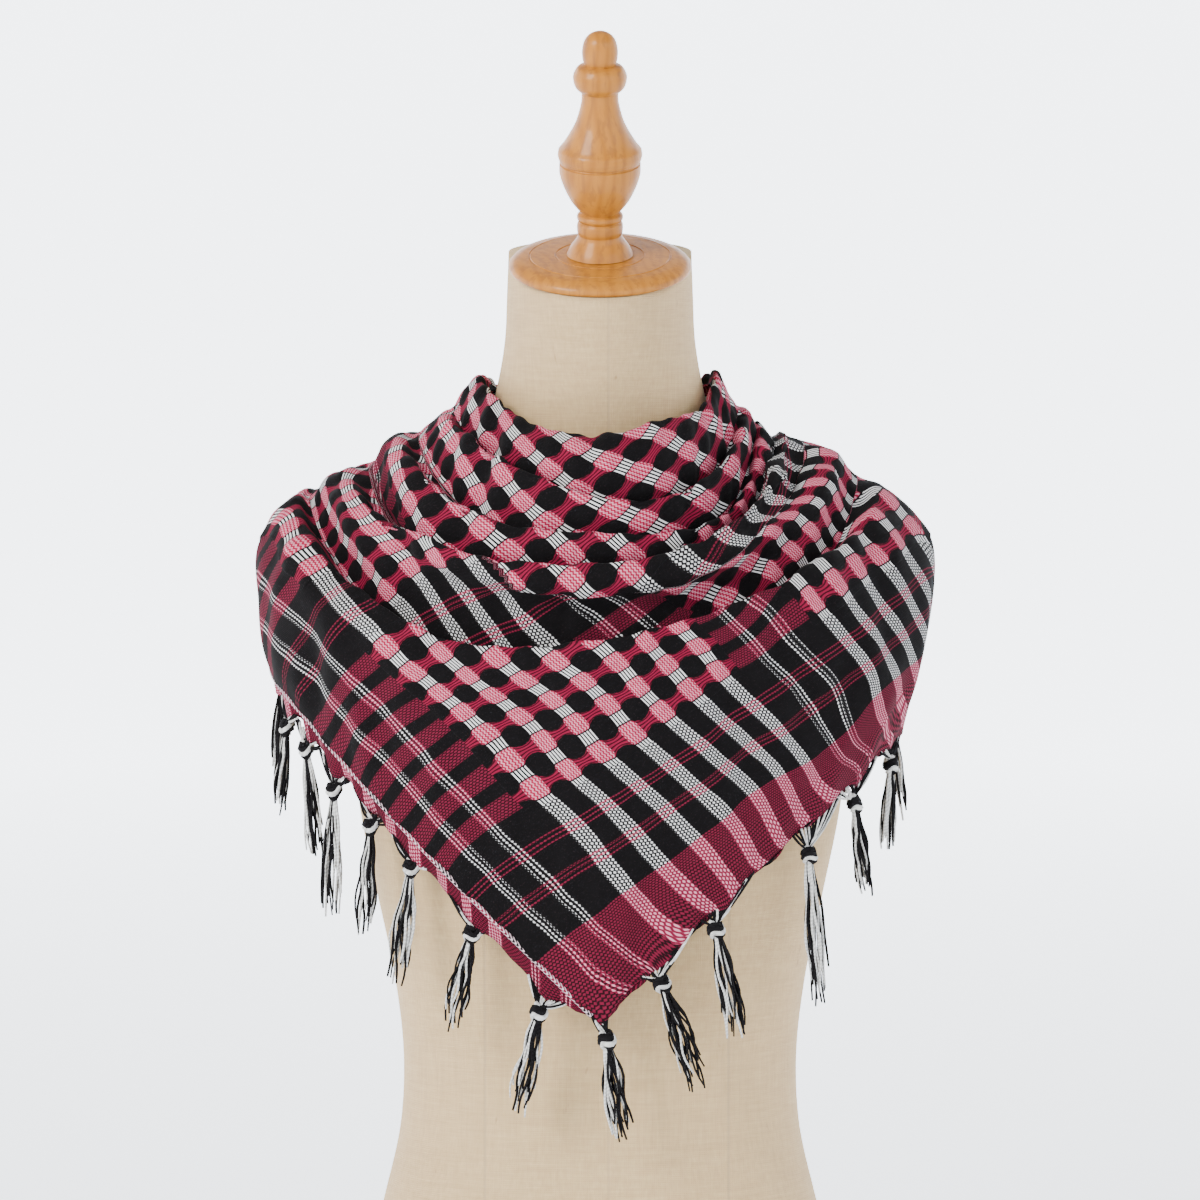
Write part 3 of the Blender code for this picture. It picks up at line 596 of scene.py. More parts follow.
def even_sheet(row_places, angles):
    """The drape before its creases, as a grid of points."""
    curves = np.array([row_curve(name, angles) for name in ROW_NAMES])
    return smooth_curve(range(len(ROW_NAMES)), curves, row_places)


def draped_sheet(row_places, angles):
    """The scarf's outer face at the rows and angles, and its normals."""
    even = even_sheet(row_places, angles)
    normals = grid_normals(even)
    rise = np.where(even[..., 1] < CREASES_FRONT, crease_rise(even, FRONT_CREASES),
                    crease_rise(even, BACK_CREASES))
    clear = np.clip(np.abs(np.asarray(row_places) - POCKET_ROW) / FURROW_CLEAR, 0, 1)
    points = even + normals * (rise * clear[:, None])[..., None]
    return points, grid_normals(points)


# %% [markdown]
# ## Where the threads lie
# The pattern must fall as it does in the photograph, so the cloth's own coordinates are pinned
# to the drape, as a dressmaker pins a cloth: each pin says which crossing of stripes is seen
# where. Between its pins the hanging panel follows one smooth function. A single function
# can't do the same in the neck folds, because much of the cloth is hidden inside them. There
# each fold has its own few pins, and is otherwise flat cloth of its true size.

# %% The pins
Pin = namedtuple("Pin", "warp weft right down")       # millimetres of cloth, photograph pixels
UNKNOWN = math.nan
PHOTO_PIXELS = 1200                 # the photograph is as tall as it is wide
PINS = (
    Pin(0, 0, 607, 1027), Pin(0, 35, 540, 961), Pin(0, 120, 436, 861), Pin(0, 198, 352, 775),
    Pin(0, 243, 314, 726), Pin(0, 325, 270, 665),
    Pin(67, 0, 662, 928), Pin(115, 0, 730, 884), Pin(211, 0, 840, 797), Pin(260, 0, 872, 755),
    Pin(290, 0, 884, 725),
    Pin(67, 35, 626.5, 891.6), Pin(91, 35, 659, 868), Pin(115, 35, 691.5, 842),
    Pin(139, 35, 722.5, 815), Pin(163, 35, 754, 792), Pin(187, 35, 783, 776.5),
    Pin(211, 35, 807, 764), Pin(241, 35, 836, 742), Pin(260, 35, 850, 731),
    Pin(67, 61, 600, 856.5), Pin(67, 84, 575, 826), Pin(67, 108, 543.6, 795),
    Pin(67, 135, 508, 757), Pin(67, 156, 484, 732), Pin(67, 177, 461, 712),
    Pin(67, 198, 440.5, 692.5), Pin(67, 219, 418.6, 672), Pin(67, 240, 389, 648),
    Pin(67, 270, 352, 614), Pin(67, 293, 335, 594), Pin(67, 323, 315, 566),
    Pin(67, 344, 297, 548), Pin(67, 365, 290, 528), Pin(67, 386, 287, 515),
    Pin(67, 395, 282, 514), Pin(91, 415, 318, 491),
    Pin(91, 114, 569, 769.6), Pin(91, 156, 516.7, 716), Pin(91, 198, 469.5, 676.5),
    Pin(91, 219, 437.7, 653.6), Pin(115, 114, 599.6, 750.5), Pin(115, 156, 550, 699.5),
    Pin(115, 198, 497.6, 658.7), Pin(139, 114, 633, 732.6), Pin(139, 135, 606, 704.5),
    Pin(139, 177, 556.6, 663.7), Pin(163, 114, 662.4, 712), Pin(163, 135, 638, 684),
    Pin(163, 156, 616.5, 663.7), Pin(187, 114, 691.8, 690.5), Pin(187, 135, 667.6, 662.4),
    Pin(187, 156, 647, 644.6), Pin(211, 114, 718.6, 670), Pin(211, 135, 700, 645),
    Pin(211, 156, 676, 628),
    Pin(241, UNKNOWN, 746, 637), Pin(241, UNKNOWN, 761, 660), Pin(241, UNKNOWN, 804, 694),
    Pin(241, UNKNOWN, 818, 723), Pin(260, UNKNOWN, 744, 597), Pin(260, UNKNOWN, 772, 608),
    Pin(260, UNKNOWN, 818, 660), Pin(260, UNKNOWN, 847, 694), Pin(290, 114, 812, 601),
    Pin(290, 20, 876, 709), Pin(290, 125, 794, 577), Pin(314, 125, 818, 560),
    Pin(338, 125, 840, 544), Pin(410, 144, 876, 491), Pin(238, 158, 710, 612),
    Pin(415, 100, 934, 548), Pin(410, 114, 909, 524),
)
print("pins of the hanging panel", len(PINS))


# %% [markdown]
# ### A smooth function through the pins
# To find the place of a pin on the drape, every point of the drape is reckoned into the
# photograph's pixels. A cubic in two directions takes up the general run of the pins, and a soft
# pull round each pin takes up what is left, so no single pin makes a kink.


# %% From pins to a function
def as_seen(points):
    """Where points come in the photograph, in its pixels."""
    pixel = FRAME_WIDE / PHOTO_PIXELS
    offset = points - np.array(CAMERA_AIM)
    up = offset[..., 2] * math.cos(CAMERA_TILT) + offset[..., 1] * math.sin(CAMERA_TILT)
    away = offset[..., 1] * math.cos(CAMERA_TILT) - offset[..., 2] * math.sin(CAMERA_TILT)
    size = pixel * (1 + away / CAMERA_AWAY)
    middle = PHOTO_PIXELS / 2
    return np.stack((middle + offset[..., 0] / size, middle - up / size), axis=-1)


def way_along(line):
    """How far each point of a line, or of a stack of lines, is from the first."""
    gaps = np.linalg.norm(np.diff(line, axis=0), axis=-1)
    return np.concatenate((0 * gaps[:1], np.cumsum(gaps, axis=0)))


def round_body(points, angles):
    """The distance from the front centre along each row of a grid, right side positive."""
    along = way_along(np.swapaxes(points, 0, 1)).T
    centre = np.argmin(np.abs(angles))
    return along - along[:, centre:centre + 1]


def powers(side, height):
    """The terms of a cubic in two directions, each about 1 in size."""
    x = side / 0.2
    y = (height - 0.42) / 0.15
    return np.stack([x**i * y**j for i in range(4) for j in range(4 - i)], axis=-1)


PIN_REACH = 0.028                   # metres round a pin in which it pulls the threads
PIN_EASE = 0.3                      # how far a pin may give way to its neighbours


def pinned(side, height, spots, values):
    """A smooth function of the panel that takes the pins' values: a cubic and soft pulls."""
    weights = np.linalg.lstsq(powers(*spots.T), values, rcond=None)[0]
    left_over = values - powers(*spots.T) @ weights

    def pull(at):
        gap = np.linalg.norm(at[..., None, :] - spots, axis=-1)
        return np.exp(-(gap / PIN_REACH) ** 2)

    forces = np.linalg.solve(pull(spots) + PIN_EASE * np.eye(len(spots)), left_over)
    at = np.stack((side, height), axis=-1)
    return powers(side, height) @ weights + pull(at) @ forces


# %% [markdown]
# ## The cloth of the neck folds
# Each fold of the neck shows its own stretch of cloth, from one furrow to the next. The pins
# say what is seen on it; what is folded away between two stretches is inside the furrow. A
# stretch is fitted as flat cloth that may gather towards the shoulders. Where its pins leave it
# free it keeps to the cloth's true size, so its checks are as large as the others.

# %% The neck folds
Stretch = namedtuple("Stretch", "first last seen_from seen_to pins")
STRETCHES = (
    Stretch(0, 3, 1.0, 2.9, (
        Pin(506, 575, 503, 420), Pin(506, 554, 525, 447), Pin(506, 533, 553, 468),
        Pin(506, 512, 585, 487), Pin(506, 470, 648, 495), Pin(530, 554, 540, 432),
        Pin(530, 533, 573, 451), Pin(530, 512, 608, 462), Pin(530, 470, 668, 472),
        Pin(554, 512, 630, 440), Pin(554, 470, 690, 447), Pin(578, 491, 683, 417),
        Pin(578, 470, 708, 418))),
    Stretch(3, 5, 3.8, 4.9, (
        Pin(386, 491, 471, 458), Pin(410, 470, 497, 481), Pin(434, 470, 530, 480),
        Pin(410, 449, 514, 508), Pin(410, 428, 548, 522), Pin(434, 407, 607, 513),
        Pin(434, 386, 643, 513), Pin(434, 365, 681, 516), Pin(458, 344, 733, 503),
        Pin(506, 344, 751, 455))),
    Stretch(5, 7, 5.8, 6.9, (
        Pin(314, 428, 454, 510), Pin(314, 407, 478, 527), Pin(338, 365, 570, 548),
        Pin(362, 344, 631, 558), Pin(386, 344, 665, 548), Pin(338, 344, 600, 563))),
    Stretch(7, 9.4, 7.8, 9.3, (
        Pin(290, 386, 487, 556),
        Pin(290, 365, 508, 569), Pin(314, 365, 540, 566), Pin(314, 344, 571, 577),
        Pin(338, 323, 637, 576), Pin(386, 293, 716, 546), Pin(434, 275, 773, 494))),
    Stretch(9.4, 11, 8.0, 10.8, (
        Pin(187, 344, 420, 538), Pin(187, 323, 437, 556), Pin(139, 323, 398, 570),
        Pin(187, 293, 462, 590), Pin(187, 270, 497, 618), Pin(211, 344, 443, 536),
        Pin(211, 293, 484, 582), Pin(211, 270, 512, 605), Pin(163, 293, 437, 600),
        Pin(241, 285, 545, 598), Pin(260, 262, 625, 610),
        Pin(290, 219, 699, 589), Pin(290, 198, 726, 596), Pin(314, 177, 775, 560))),
)
NAPE_FOLD = (560.0, 330.0)          # the cloth where it runs into the knot: down, side
NAPE_EDGE = (431.0, 431.0)
FOLD_TURN = math.sqrt(0.5)          # down and side each count this much in warp and in weft
TRUST = 60.0                        # how much a fold keeps to cloth of its true size
GATHER_FROM, GATHER_FOR = 45.0, 70.0    # where cloth is bunched towards the shoulders
GATHER_TRUST = 30.0
SLIP_FROM, SLIP_TO, SLIP = -18.0, -32.0, 2.4    # the lowest fold's edge climbs on the left
SHOULDER = 90                       # the angle of the shoulders round the body
SEEN_TO = 92                        # the camera sees no cloth behind this angle
print("pins of the neck folds", sum(len(stretch.pins) for stretch in STRETCHES))


# %% [markdown]
# ### The map of threads
# For every point of the drape the map says which thread of warp and which of weft lies there.
# The neck folds come first, each by its own pins. Then comes the hanging panel by its smooth
# function, and last the cloth behind the shoulders, which the photograph doesn't show and which
# runs evenly to the knot.


# %% The map of threads
def lie(way, fall):
    """What a stretch's cloth may depend on: even ways round and down, and gathers beside them."""
    return np.stack((np.ones(np.shape(way)), way, fall,
                     np.clip(-way - GATHER_FROM, 0, GATHER_FOR),
                     np.clip(way - GATHER_FROM, 0, GATHER_FOR)), axis=-1)


def nearest_place(seen, pin):
    """The row and column of a grid where the photograph shows a pin."""
    gap = np.linalg.norm(seen - (pin.right, pin.down), axis=-1)
    return np.unravel_index(np.argmin(gap), gap.shape)


def stretch_map(stretch, way, fall, seen, row_places):
    """Warp and weft as a sum of the terms of lie, fitted to a stretch's pins."""
    shown = (row_places >= stretch.seen_from) & (row_places <= stretch.seen_to)
    terms, warps, wefts = [], [], []
    for pin in stretch.pins:
        nearest = nearest_place(seen[shown], pin)
        terms.append(lie(way[shown][nearest], fall[shown][nearest]))
        warps.append(pin.warp)
        wefts.append(pin.weft)
    keep = np.diag((0, TRUST, TRUST, GATHER_TRUST, GATHER_TRUST))[1:]
    turn = FOLD_TURN * TRUST
    known = np.concatenate((terms, keep))
    warp = np.linalg.lstsq(known, np.array(warps + [turn, -turn, 0, 0]), rcond=None)[0]
    weft = np.linalg.lstsq(known, np.array(wefts + [-turn, -turn, 0, 0]), rcond=None)[0]
    return warp, weft


def panel_threads(way, height, seen, angles):
    """Warp and weft on the hanging panel, where the pins rule."""
    front = np.abs(angles) <= SEEN_TO
    spots = []
    for pin in PINS:
        nearest = nearest_place(seen[:, front], pin)
        spots.append((way[:, front][nearest] * MM, height[:, front][nearest]))
    spots = np.array(spots)
    warps = np.array([pin.warp for pin in PINS], float)
    wefts = np.array([pin.weft for pin in PINS], float)
    known = ~np.isnan(wefts)
    column = np.array([np.argmin(np.abs(angles - angle))
                       for angle in np.clip(angles, -SHOULDER, SHOULDER)])
    side, tall = way[:, column] * MM, height[:, column]
    return pinned(side, tall, spots, warps), pinned(side, tall, spots[known], wefts[known])


def run_to_knot(down, side, way, height, angles):
    """Behind the shoulders every row of the panel runs evenly to its place in the knot."""
    fallen = (height[0, 0] - height[:, 0]) / (height[0, 0] - height[-1, 0])
    share = np.clip(fallen, 0, 1)[:, None]
    nape_down = NAPE_FOLD[0] + (NAPE_EDGE[0] - NAPE_FOLD[0]) * share
    nape_side = NAPE_FOLD[1] + (NAPE_EDGE[1] - NAPE_FOLD[1]) * share
    for sign in (-1, 1):
        behind = np.where(angles * sign > SHOULDER)[0]
        rim = np.argmin(np.abs(angles - sign * SHOULDER))
        start = way[:, rim:rim + 1]
        end = behind[0] if sign < 0 else behind[-1]
        part = (way[:, behind] - start) / (way[:, end:end + 1] - start)
        down[:, behind] = down[:, rim:rim + 1] * (1 - part) + nape_down * part
        side[:, behind] = side[:, rim:rim + 1] * (1 - part) + sign * nape_side * part


def thread_map(row_places, angles):
    """The cloth's coordinates in millimetres (down, side) on the whole drape."""
    angles = np.asarray(angles, float)
    row_places = np.asarray(row_places, float)
    every = np.unique(np.concatenate((row_places, steps(0, CREST_ROW, 120))))
    even = even_sheet(every, angles)
    way = round_body(even, angles) / MM
    fall = way_along(even) / MM
    seen = as_seen(even)
    seen[:, np.abs(angles) > SEEN_TO] = -1

    # the folds of the neck, one stretch of cloth after another
    warp, weft = np.zeros(way.shape), np.zeros(way.shape)
    slip = SLIP * np.clip((angles - SLIP_FROM) / (SLIP_TO - SLIP_FROM), 0, 1)
    level = every[:, None] + np.where(every[:, None] > STRETCHES[3].first, slip, 0)
    for stretch in STRETCHES:
        warp_rates, weft_rates = stretch_map(stretch, way, fall, seen, every)
        here = level >= stretch.first
        place = lie(way, fall)[here]
        warp[here] = place @ warp_rates
        weft[here] = place @ weft_rates

    # from the great crest down, the hanging panel, whose two edges are the edges of the cloth
    panel = every >= CREST_ROW
    height = even[panel][..., 2]
    low_warp, low_weft = panel_threads(way[panel], height, seen[panel], angles)
    last = np.clip(1 - (EDGE_ROW - every[panel][:, None]) / 1.2, 0, 1)
    low_warp -= np.where(angles < 0, low_warp[-1], 0) * last
    low_weft -= np.where(angles > 0, low_weft[-1], 0) * last
    down = (low_warp + low_weft) * FOLD_TURN
    side = (low_warp - low_weft) * FOLD_TURN
    run_to_knot(down, side, way[panel], height, angles)
    warp[panel] = (down + side) * FOLD_TURN
    weft[panel] = (down - side) * FOLD_TURN

    # between the furrow and the great crest the cloth goes on at its true size
    rise = (every >= STRETCHES[-1].last) & ~panel
    crest = np.argmax(panel)
    for grid in (warp, weft):
        grid[rise] = grid[crest] + (fall[crest] - fall[rise]) * FOLD_TURN
    cloth = np.stack((warp + weft, warp - weft), axis=-1) * FOLD_TURN
    return cloth[np.searchsorted(every, row_places)]


def threads(cloth):
    """Warp and weft coordinates in metres from down and side in millimetres."""
    down, side = cloth[..., 0], cloth[..., 1]
    return np.stack((down + side, down - side), axis=-1) / math.sqrt(2) * MM


# %% [markdown]
# ## A grid becomes cloth
# Each stretch of cloth starts as a flat grid, made by one operator. Its points are moved onto
# the drape, its map of threads is written as a UV map, and a Solidify modifier gives it the
# thickness of a cotton cloth. The grid is fine enough for every soft fold, while the threads
# themselves are left to the material.


# %% Helpers for pieces
def smooth_object(bm, name, material):
    """Turns a bmesh into an object of one material."""
    mesh = bpy.data.meshes.new(name)
    bm.to_mesh(mesh)
    bm.free()
    mesh.materials.append(material)
    mesh.shade_smooth()
    made = bpy.data.objects.new(name, mesh)
    bpy.context.scene.collection.objects.link(made)
    return made


def finished(bm, name, material):
    """Turns a bmesh into a piece that rides on the form."""
    piece = smooth_object(bm, name, material)
    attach(piece, "root")
    return piece


def cloth_piece(name, points, cloth_uv, material, wall):
    """A grid moved onto points, with its map of threads and a wall grown inwards."""
    rows, columns = points.shape[:2]
    bm = bmesh.new()
    bmesh.ops.create_grid(bm, x_segments=columns - 1, y_segments=rows - 1, size=1)
    layer = bm.loops.layers.uv.new("cloth")
    where = {}
    for vert in bm.verts:
        column = round((vert.co.x + 1) / 2 * (columns - 1))
        row = round((1 - vert.co.y) / 2 * (rows - 1))
        where[vert.index] = (row, column)
        vert.co = points[row, column]
    for face in bm.faces:
        for loop in face.loops:
            loop[layer].uv = cloth_uv[where[loop.vert.index]]
    piece = finished(bm, name, material)
    wall_modifier = piece.modifiers.new("wall", "SOLIDIFY")
    wall_modifier.thickness = wall
    wall_modifier.offset = -1
    wall_modifier.use_even_offset = False
    return piece


# %% [markdown]
# ## Small reliefs in the cloth
# The floats pull the check into little cushions, and no hem hangs quite straight: the threads
# gathered into each tassel draw the fringe into scallops. Both are only a few millimetres, but
# they break the smooth outline that a computed sheet would have.


# %% Cushions, scallops and soft wrinkles
def stripe_place(along, whole, border, field, pitch):
    """The same reckoning as in the material: the offset from a broad stripe, and if it is one."""
    edge = whole / 2 - np.abs(along - whole / 2)
    in_field = edge > field
    here = ((edge > border[0]) & (edge < border[1])) | in_field
    return (edge - border[0] - in_field * (field - border[0])) % pitch - pitch / 2, here


def cushions(cloth):
    """1 in the middle of a pink block or a black cushion, 0 at the floats between them."""
    uv = threads(cloth) / MM
    a, warp_zone = stripe_place(uv[..., 0], CLOTH_WIDE, WARP_BORDER, WARP_FIELD, WARP_STRIPE)
    b, weft_zone = stripe_place(uv[..., 1], CLOTH_LONG, WEFT_BORDER, WEFT_FIELD, WEFT_STRIPE)
    swell = 0.5 + 0.5 * np.cos(2 * math.pi * a / WARP_STRIPE) * np.cos(2 * math.pi * b / WEFT_STRIPE)
    return swell * (warp_zone & weft_zone)


def wrinkles(points):
    """Shallow waves that run mostly down the body, one to two millimetres high."""
    turn = np.arctan2(points[..., 0], -points[..., 1])
    height = points[..., 2] / MM
    slant = turn * 23 + np.sin(height / 31) * 0.8
    waves = np.sin(slant) * np.sin(height / 43 + turn * 3) + 0.5 * np.sin(turn * 41 - height / 19)
    return waves * MM


# %% [markdown]
# ## Where the tassels hang
# The tassels pull at the hems of both layers, so their places come before the cloth. For each
# one the table gives the angle round the body, how far its knot hangs to the side and below the
# edge, and how far its cut ends reach below the knot and to the side, all as the photograph
# shows them. Those behind the shoulders are spaced like the others.

# %% The table of tassels
Tassel = namedtuple("Tassel", "name angle side drop lean reach")
FRONT_TASSELS = (
    Tassel("point", 0, 4, 8, 10, 58), Tassel("right_1", 12.5, -3, 12, 22, 59),
    Tassel("right_2", 24.5, -8, 15, 14, 64), Tassel("right_3", 44, -3, 17, 7, 84),
    Tassel("right_4", 57, -2, 11, 8, 52), Tassel("right_5", 74, -1, 9, -3, 49),
    Tassel("right_6", 104, 2, 10, 3, 54), Tassel("right_7", 124, 0, 11, -4, 56),
    Tassel("right_8", 146, 2, 11, 5, 55),
)
UNDER_TASSELS = (
    Tassel("left_1", -9.5, -4, 13, -12, 58), Tassel("left_2", -23.5, 3, 13, -13, 54),
    Tassel("left_3", -36, 3, 12, -9, 66), Tassel("left_4", -45, 2, 13, -4, 62),
    Tassel("left_5", -54.5, 1, 16, -3, 74), Tassel("left_6", -65, 1, 12, 5, 60),
    Tassel("left_7", -76, 1, 13, -5, 50), Tassel("left_8", -106, -2, 12, -3, 55),
    Tassel("left_9", -125, 0, 12, 4, 54), Tassel("left_10", -146, -2, 12, -5, 55),
)
print("tassels in the table", len(FRONT_TASSELS), "and", len(UNDER_TASSELS))

# %% [markdown]
# ## The upper layer
# From inside the neckline to the selvedge and the fringe this is one unbroken sheet: it makes
# the folds at the throat, the hanging point and both ways to the nape. The fringe side is drawn
# a little towards each tassel.

# %% The upper layer
CLOTH_WALL = 0.9 * MM
TASSEL_ANGLES = [row.angle for row in FRONT_TASSELS]
FRINGE_PULL = 6.5 * MM
GATHER_HALF = 2.6                   # degrees round a tassel in which it draws the edge down
EDGE_RUFFLE = 0.7 * MM
EDGE_WAVE = 5 * MM
CUSHION_HIGH = 0.9 * MM
# the columns are closer together round the hanging point
sheet_angles = np.unique(np.round(np.concatenate((steps(-NAPE_ANGLE, NAPE_ANGLE, 258),
                                                  steps(-8, 8, 24))), 6))
jumps = [stretch.last for stretch in STRETCHES]
sheet_rows = np.unique(np.concatenate((steps(0, POCKET_ROW, 88), steps(POCKET_ROW, CREST_ROW, 8),
                                       steps(CREST_ROW, EDGE_ROW, 68), jumps,
                                       [jump - 0.02 for jump in jumps])))


def gathered(row_places, angles, places, deep):
    """How far the edge is drawn down at each point, most of all at the tassels' places."""
    near = np.min(np.abs(np.asarray(angles)[:, None] - np.array(places)), axis=1)
    pull = np.exp(-(near / GATHER_HALF) ** 2) - 0.6
    last = np.clip(1 - (EDGE_ROW - np.asarray(row_places)) / 0.6, 0, 1) ** 2
    return last[:, None] * pull * deep


upper_points, upper_normals = draped_sheet(sheet_rows, sheet_angles)
upper_cloth = thread_map(sheet_rows, sheet_angles)
lift = cushions(upper_cloth) * CUSHION_HIGH + wrinkles(upper_points)
upper_points = upper_points + upper_normals * lift[..., None]
downward = unit(np.gradient(upper_points, axis=0))
fringe_pull = gathered(sheet_rows, sheet_angles, TASSEL_ANGLES, FRINGE_PULL) * (sheet_angles > -3)
upper_points = upper_points + downward * fringe_pull[..., None]
near_edge = np.clip(1 - (EDGE_ROW - sheet_rows) / 0.5, 0, 1) ** 2
edge_way = round_body(upper_points[-1:], sheet_angles)
ruffle = near_edge[:, None] * np.sin(edge_way / EDGE_WAVE) * EDGE_RUFFLE
upper_points = upper_points + upper_normals * ruffle[..., None]
upper = cloth_piece("scarf_upper", upper_points, threads(upper_cloth), scarf_weave, CLOTH_WALL)
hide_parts("cowl", "front_panel", "back_left", "back_right")
upper_area = sum(face.area for face in upper.data.polygons)
print("upper layer", len(upper.data.polygons), "faces", round(upper_area, 3), "square metres")

# %% [markdown]
# ## The under layer
# The square is folded, so a second layer hangs behind the first. It is a little longer on the
# left, where its own fringe edge looks out under the selvedge. Its threads run the other way
# round, as they do on the far side of the fold.

# %% The under layer
UNDER_TASSEL_ANGLES = [row.angle for row in UNDER_TASSELS]
UNDER_PULL = 6.0 * MM
UNDER_DROP = 17.0                   # how far it hangs past the upper layer, on the left
UNDER_RIGHT = 0.5                   # and on the right
UNDER_LIFT = 1.9 * MM               # how far it lies below the upper layer
UNDER_END = 94                      # degrees to each side, where it runs out of sight
HEM_SHARES = steps(0, 1, 4)[1:]     # the hem is four rows of the grid, from the upper edge down
HEM_RUFFLE = 2.0 * MM
HEM_WAVE = 4.3 * MM


def under_edge(angles):
    """How far the under layer runs past the upper one, in millimetres."""
    share = 0.5 - 0.5 * np.tanh((np.asarray(angles) + 4) / 5)
    return UNDER_DROP * share + UNDER_RIGHT * (1 - share)


under_angles = steps(-UNDER_END, UNDER_END, 180)
under_rows = steps(CREST_ROW + 0.1, EDGE_ROW, 60)
under_points, under_normals = draped_sheet(under_rows, under_angles)
under_points = under_points - under_normals * UNDER_LIFT + under_normals * wrinkles(
    under_points)[..., None]
under_cloth = thread_map(under_rows, under_angles)
edge_run = unit(under_points[-1] - under_points[-2])
scallop = gathered([EDGE_ROW], under_angles, UNDER_TASSEL_ANGLES, UNDER_PULL)[0]
under_way = round_body(under_points[-1:], under_angles)[0]
under_drop = under_edge(under_angles)
hem = []
for share in HEM_SHARES:
    drop = under_drop * MM * share + scallop * share**2
    ruffle = np.sin(under_way / HEM_WAVE) * HEM_RUFFLE * share
    hem.append(under_points[-1] + edge_run * drop[:, None] + under_normals[-1] * ruffle[:, None])
under_uv = threads(under_cloth) / MM
warp_to_edge = CLOTH_LONG - under_uv[..., 0] - under_drop
weft_to_edge = CLOTH_WIDE - under_uv[..., 1]
under_uv = np.stack((weft_to_edge, warp_to_edge), axis=-1)
hem_uv = [under_uv[-1] + np.stack((0 * under_drop, under_drop * share), axis=-1)
          for share in HEM_SHARES]
under_points = np.concatenate((under_points, hem))
under_uv = np.concatenate((under_uv, hem_uv)) * MM
under = cloth_piece("scarf_under", under_points, under_uv, scarf_weave, CLOTH_WALL)
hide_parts("under_panel")
under_area = sum(face.area for face in under.data.polygons)
print("under layer", len(under.data.polygons), "faces", round(under_area, 3), "square metres")

# %% [markdown]
# ## The form
# The torso is padded and covered with unbleached linen, cut in long panels whose seams run down
# the front. Its sections are ovals whose sizes are joined by smooth curves, so the grid that is
# rolled round them has no steps at waist or shoulder.

# %% The torso
Section = namedtuple("Section", "height half front back full lean")
FORM_SECTIONS = (
    Section(0, 155, 106, 106, 2.3, 0),
    Section(6, 157, 108, 108, 2.3, 0),
    Section(60, 148, 105, 106, 2.3, 0),
    Section(130, 130, 96, 99, 2.3, 0),
    Section(175, 120, 89, 89, 2.2, 0),
    Section(212, 118, 88, 84, 2.2, 0),
    Section(262, 123, 94, 87, 2.2, 0),
    Section(315, 134, 105, 90, 2.2, 0),
    Section(365, 144, 113, 95, 2.2, 0),
    Section(400, 148, 113, 100, 2.3, 0),
    Section(435, 152, 107, 104, 2.3, 0),
    Section(470, 159, 96, 105, 2.4, 0),
    Section(498, 170, 83, 99, 2.4, 0),
    Section(518, 177, 70, 90, 2.3, 0),
    Section(533, 172, 60, 80, 2.2, 0),
    Section(546, 150, 54, 72, 2.1, 1),
    Section(557, 122, 53, 67, 2.0, 3),
    Section(568, 93, 54, 62, 2.0, 5),
    Section(579, 76, 57, 56, 2.0, 7),
    Section(594, 67.5, 61, 50, 2.0, 9),
    Section(614, 62, 65, 43.5, 2.0, 12),
    Section(640, 57, 74, 36, 2.0, 15),
    Section(666, 55.6, 82, 28.5, 2.0, 17.5),
    Section(688, 54.7, 88, 22, 2.0, 18),
)
FORM_ROUND = 128                    # points round each section
LINEN_SEAMS = ((-0.068, 1.0), (0.005, 0.75), (0.076, 1.0))     # a seam's place and its strength


def form_ring(section, turns):
    height, half, front, rear, full, lean = section
    power = 2 / full
    across = np.copysign(np.abs(np.sin(turns)) ** power, np.sin(turns)) * half
    depth = np.where(np.cos(turns) > 0, front, rear)
    along = -np.copysign(np.abs(np.cos(turns)) ** power, np.cos(turns)) * depth
    rise = (along - (rear - front) / 2) * math.tan(math.radians(lean))
    return np.stack((across, along, height + rise), axis=-1) * MM


def tube_from(rings):
    """A grid rolled round rings of points, each with one point per step and no repeat."""
    bm = bmesh.new()
    count, around = len(rings), len(rings[0])
    bmesh.ops.create_grid(bm, x_segments=around, y_segments=count - 1, size=1)
    for vert in bm.verts:
        column = round((vert.co.x + 1) / 2 * around) % around
        row = round((vert.co.y + 1) / 2 * (count - 1))
        vert.co = rings[row][column]
    bmesh.ops.remove_doubles(bm, verts=bm.verts[:], dist=1e-6)
    bmesh.ops.holes_fill(bm, edges=[e for e in bm.edges if e.is_boundary], sides=0)
    bmesh.ops.recalc_face_normals(bm, faces=bm.faces[:])
    return bm


# %% [markdown]
# ### The linen
# Unbleached linen is slubby: some threads are thicker than their neighbours, both ways, and
# brown flecks are left in the yarn. Noise that is drawn out along one axis gives such threads,
# and the seams are thin dark lines on the front.


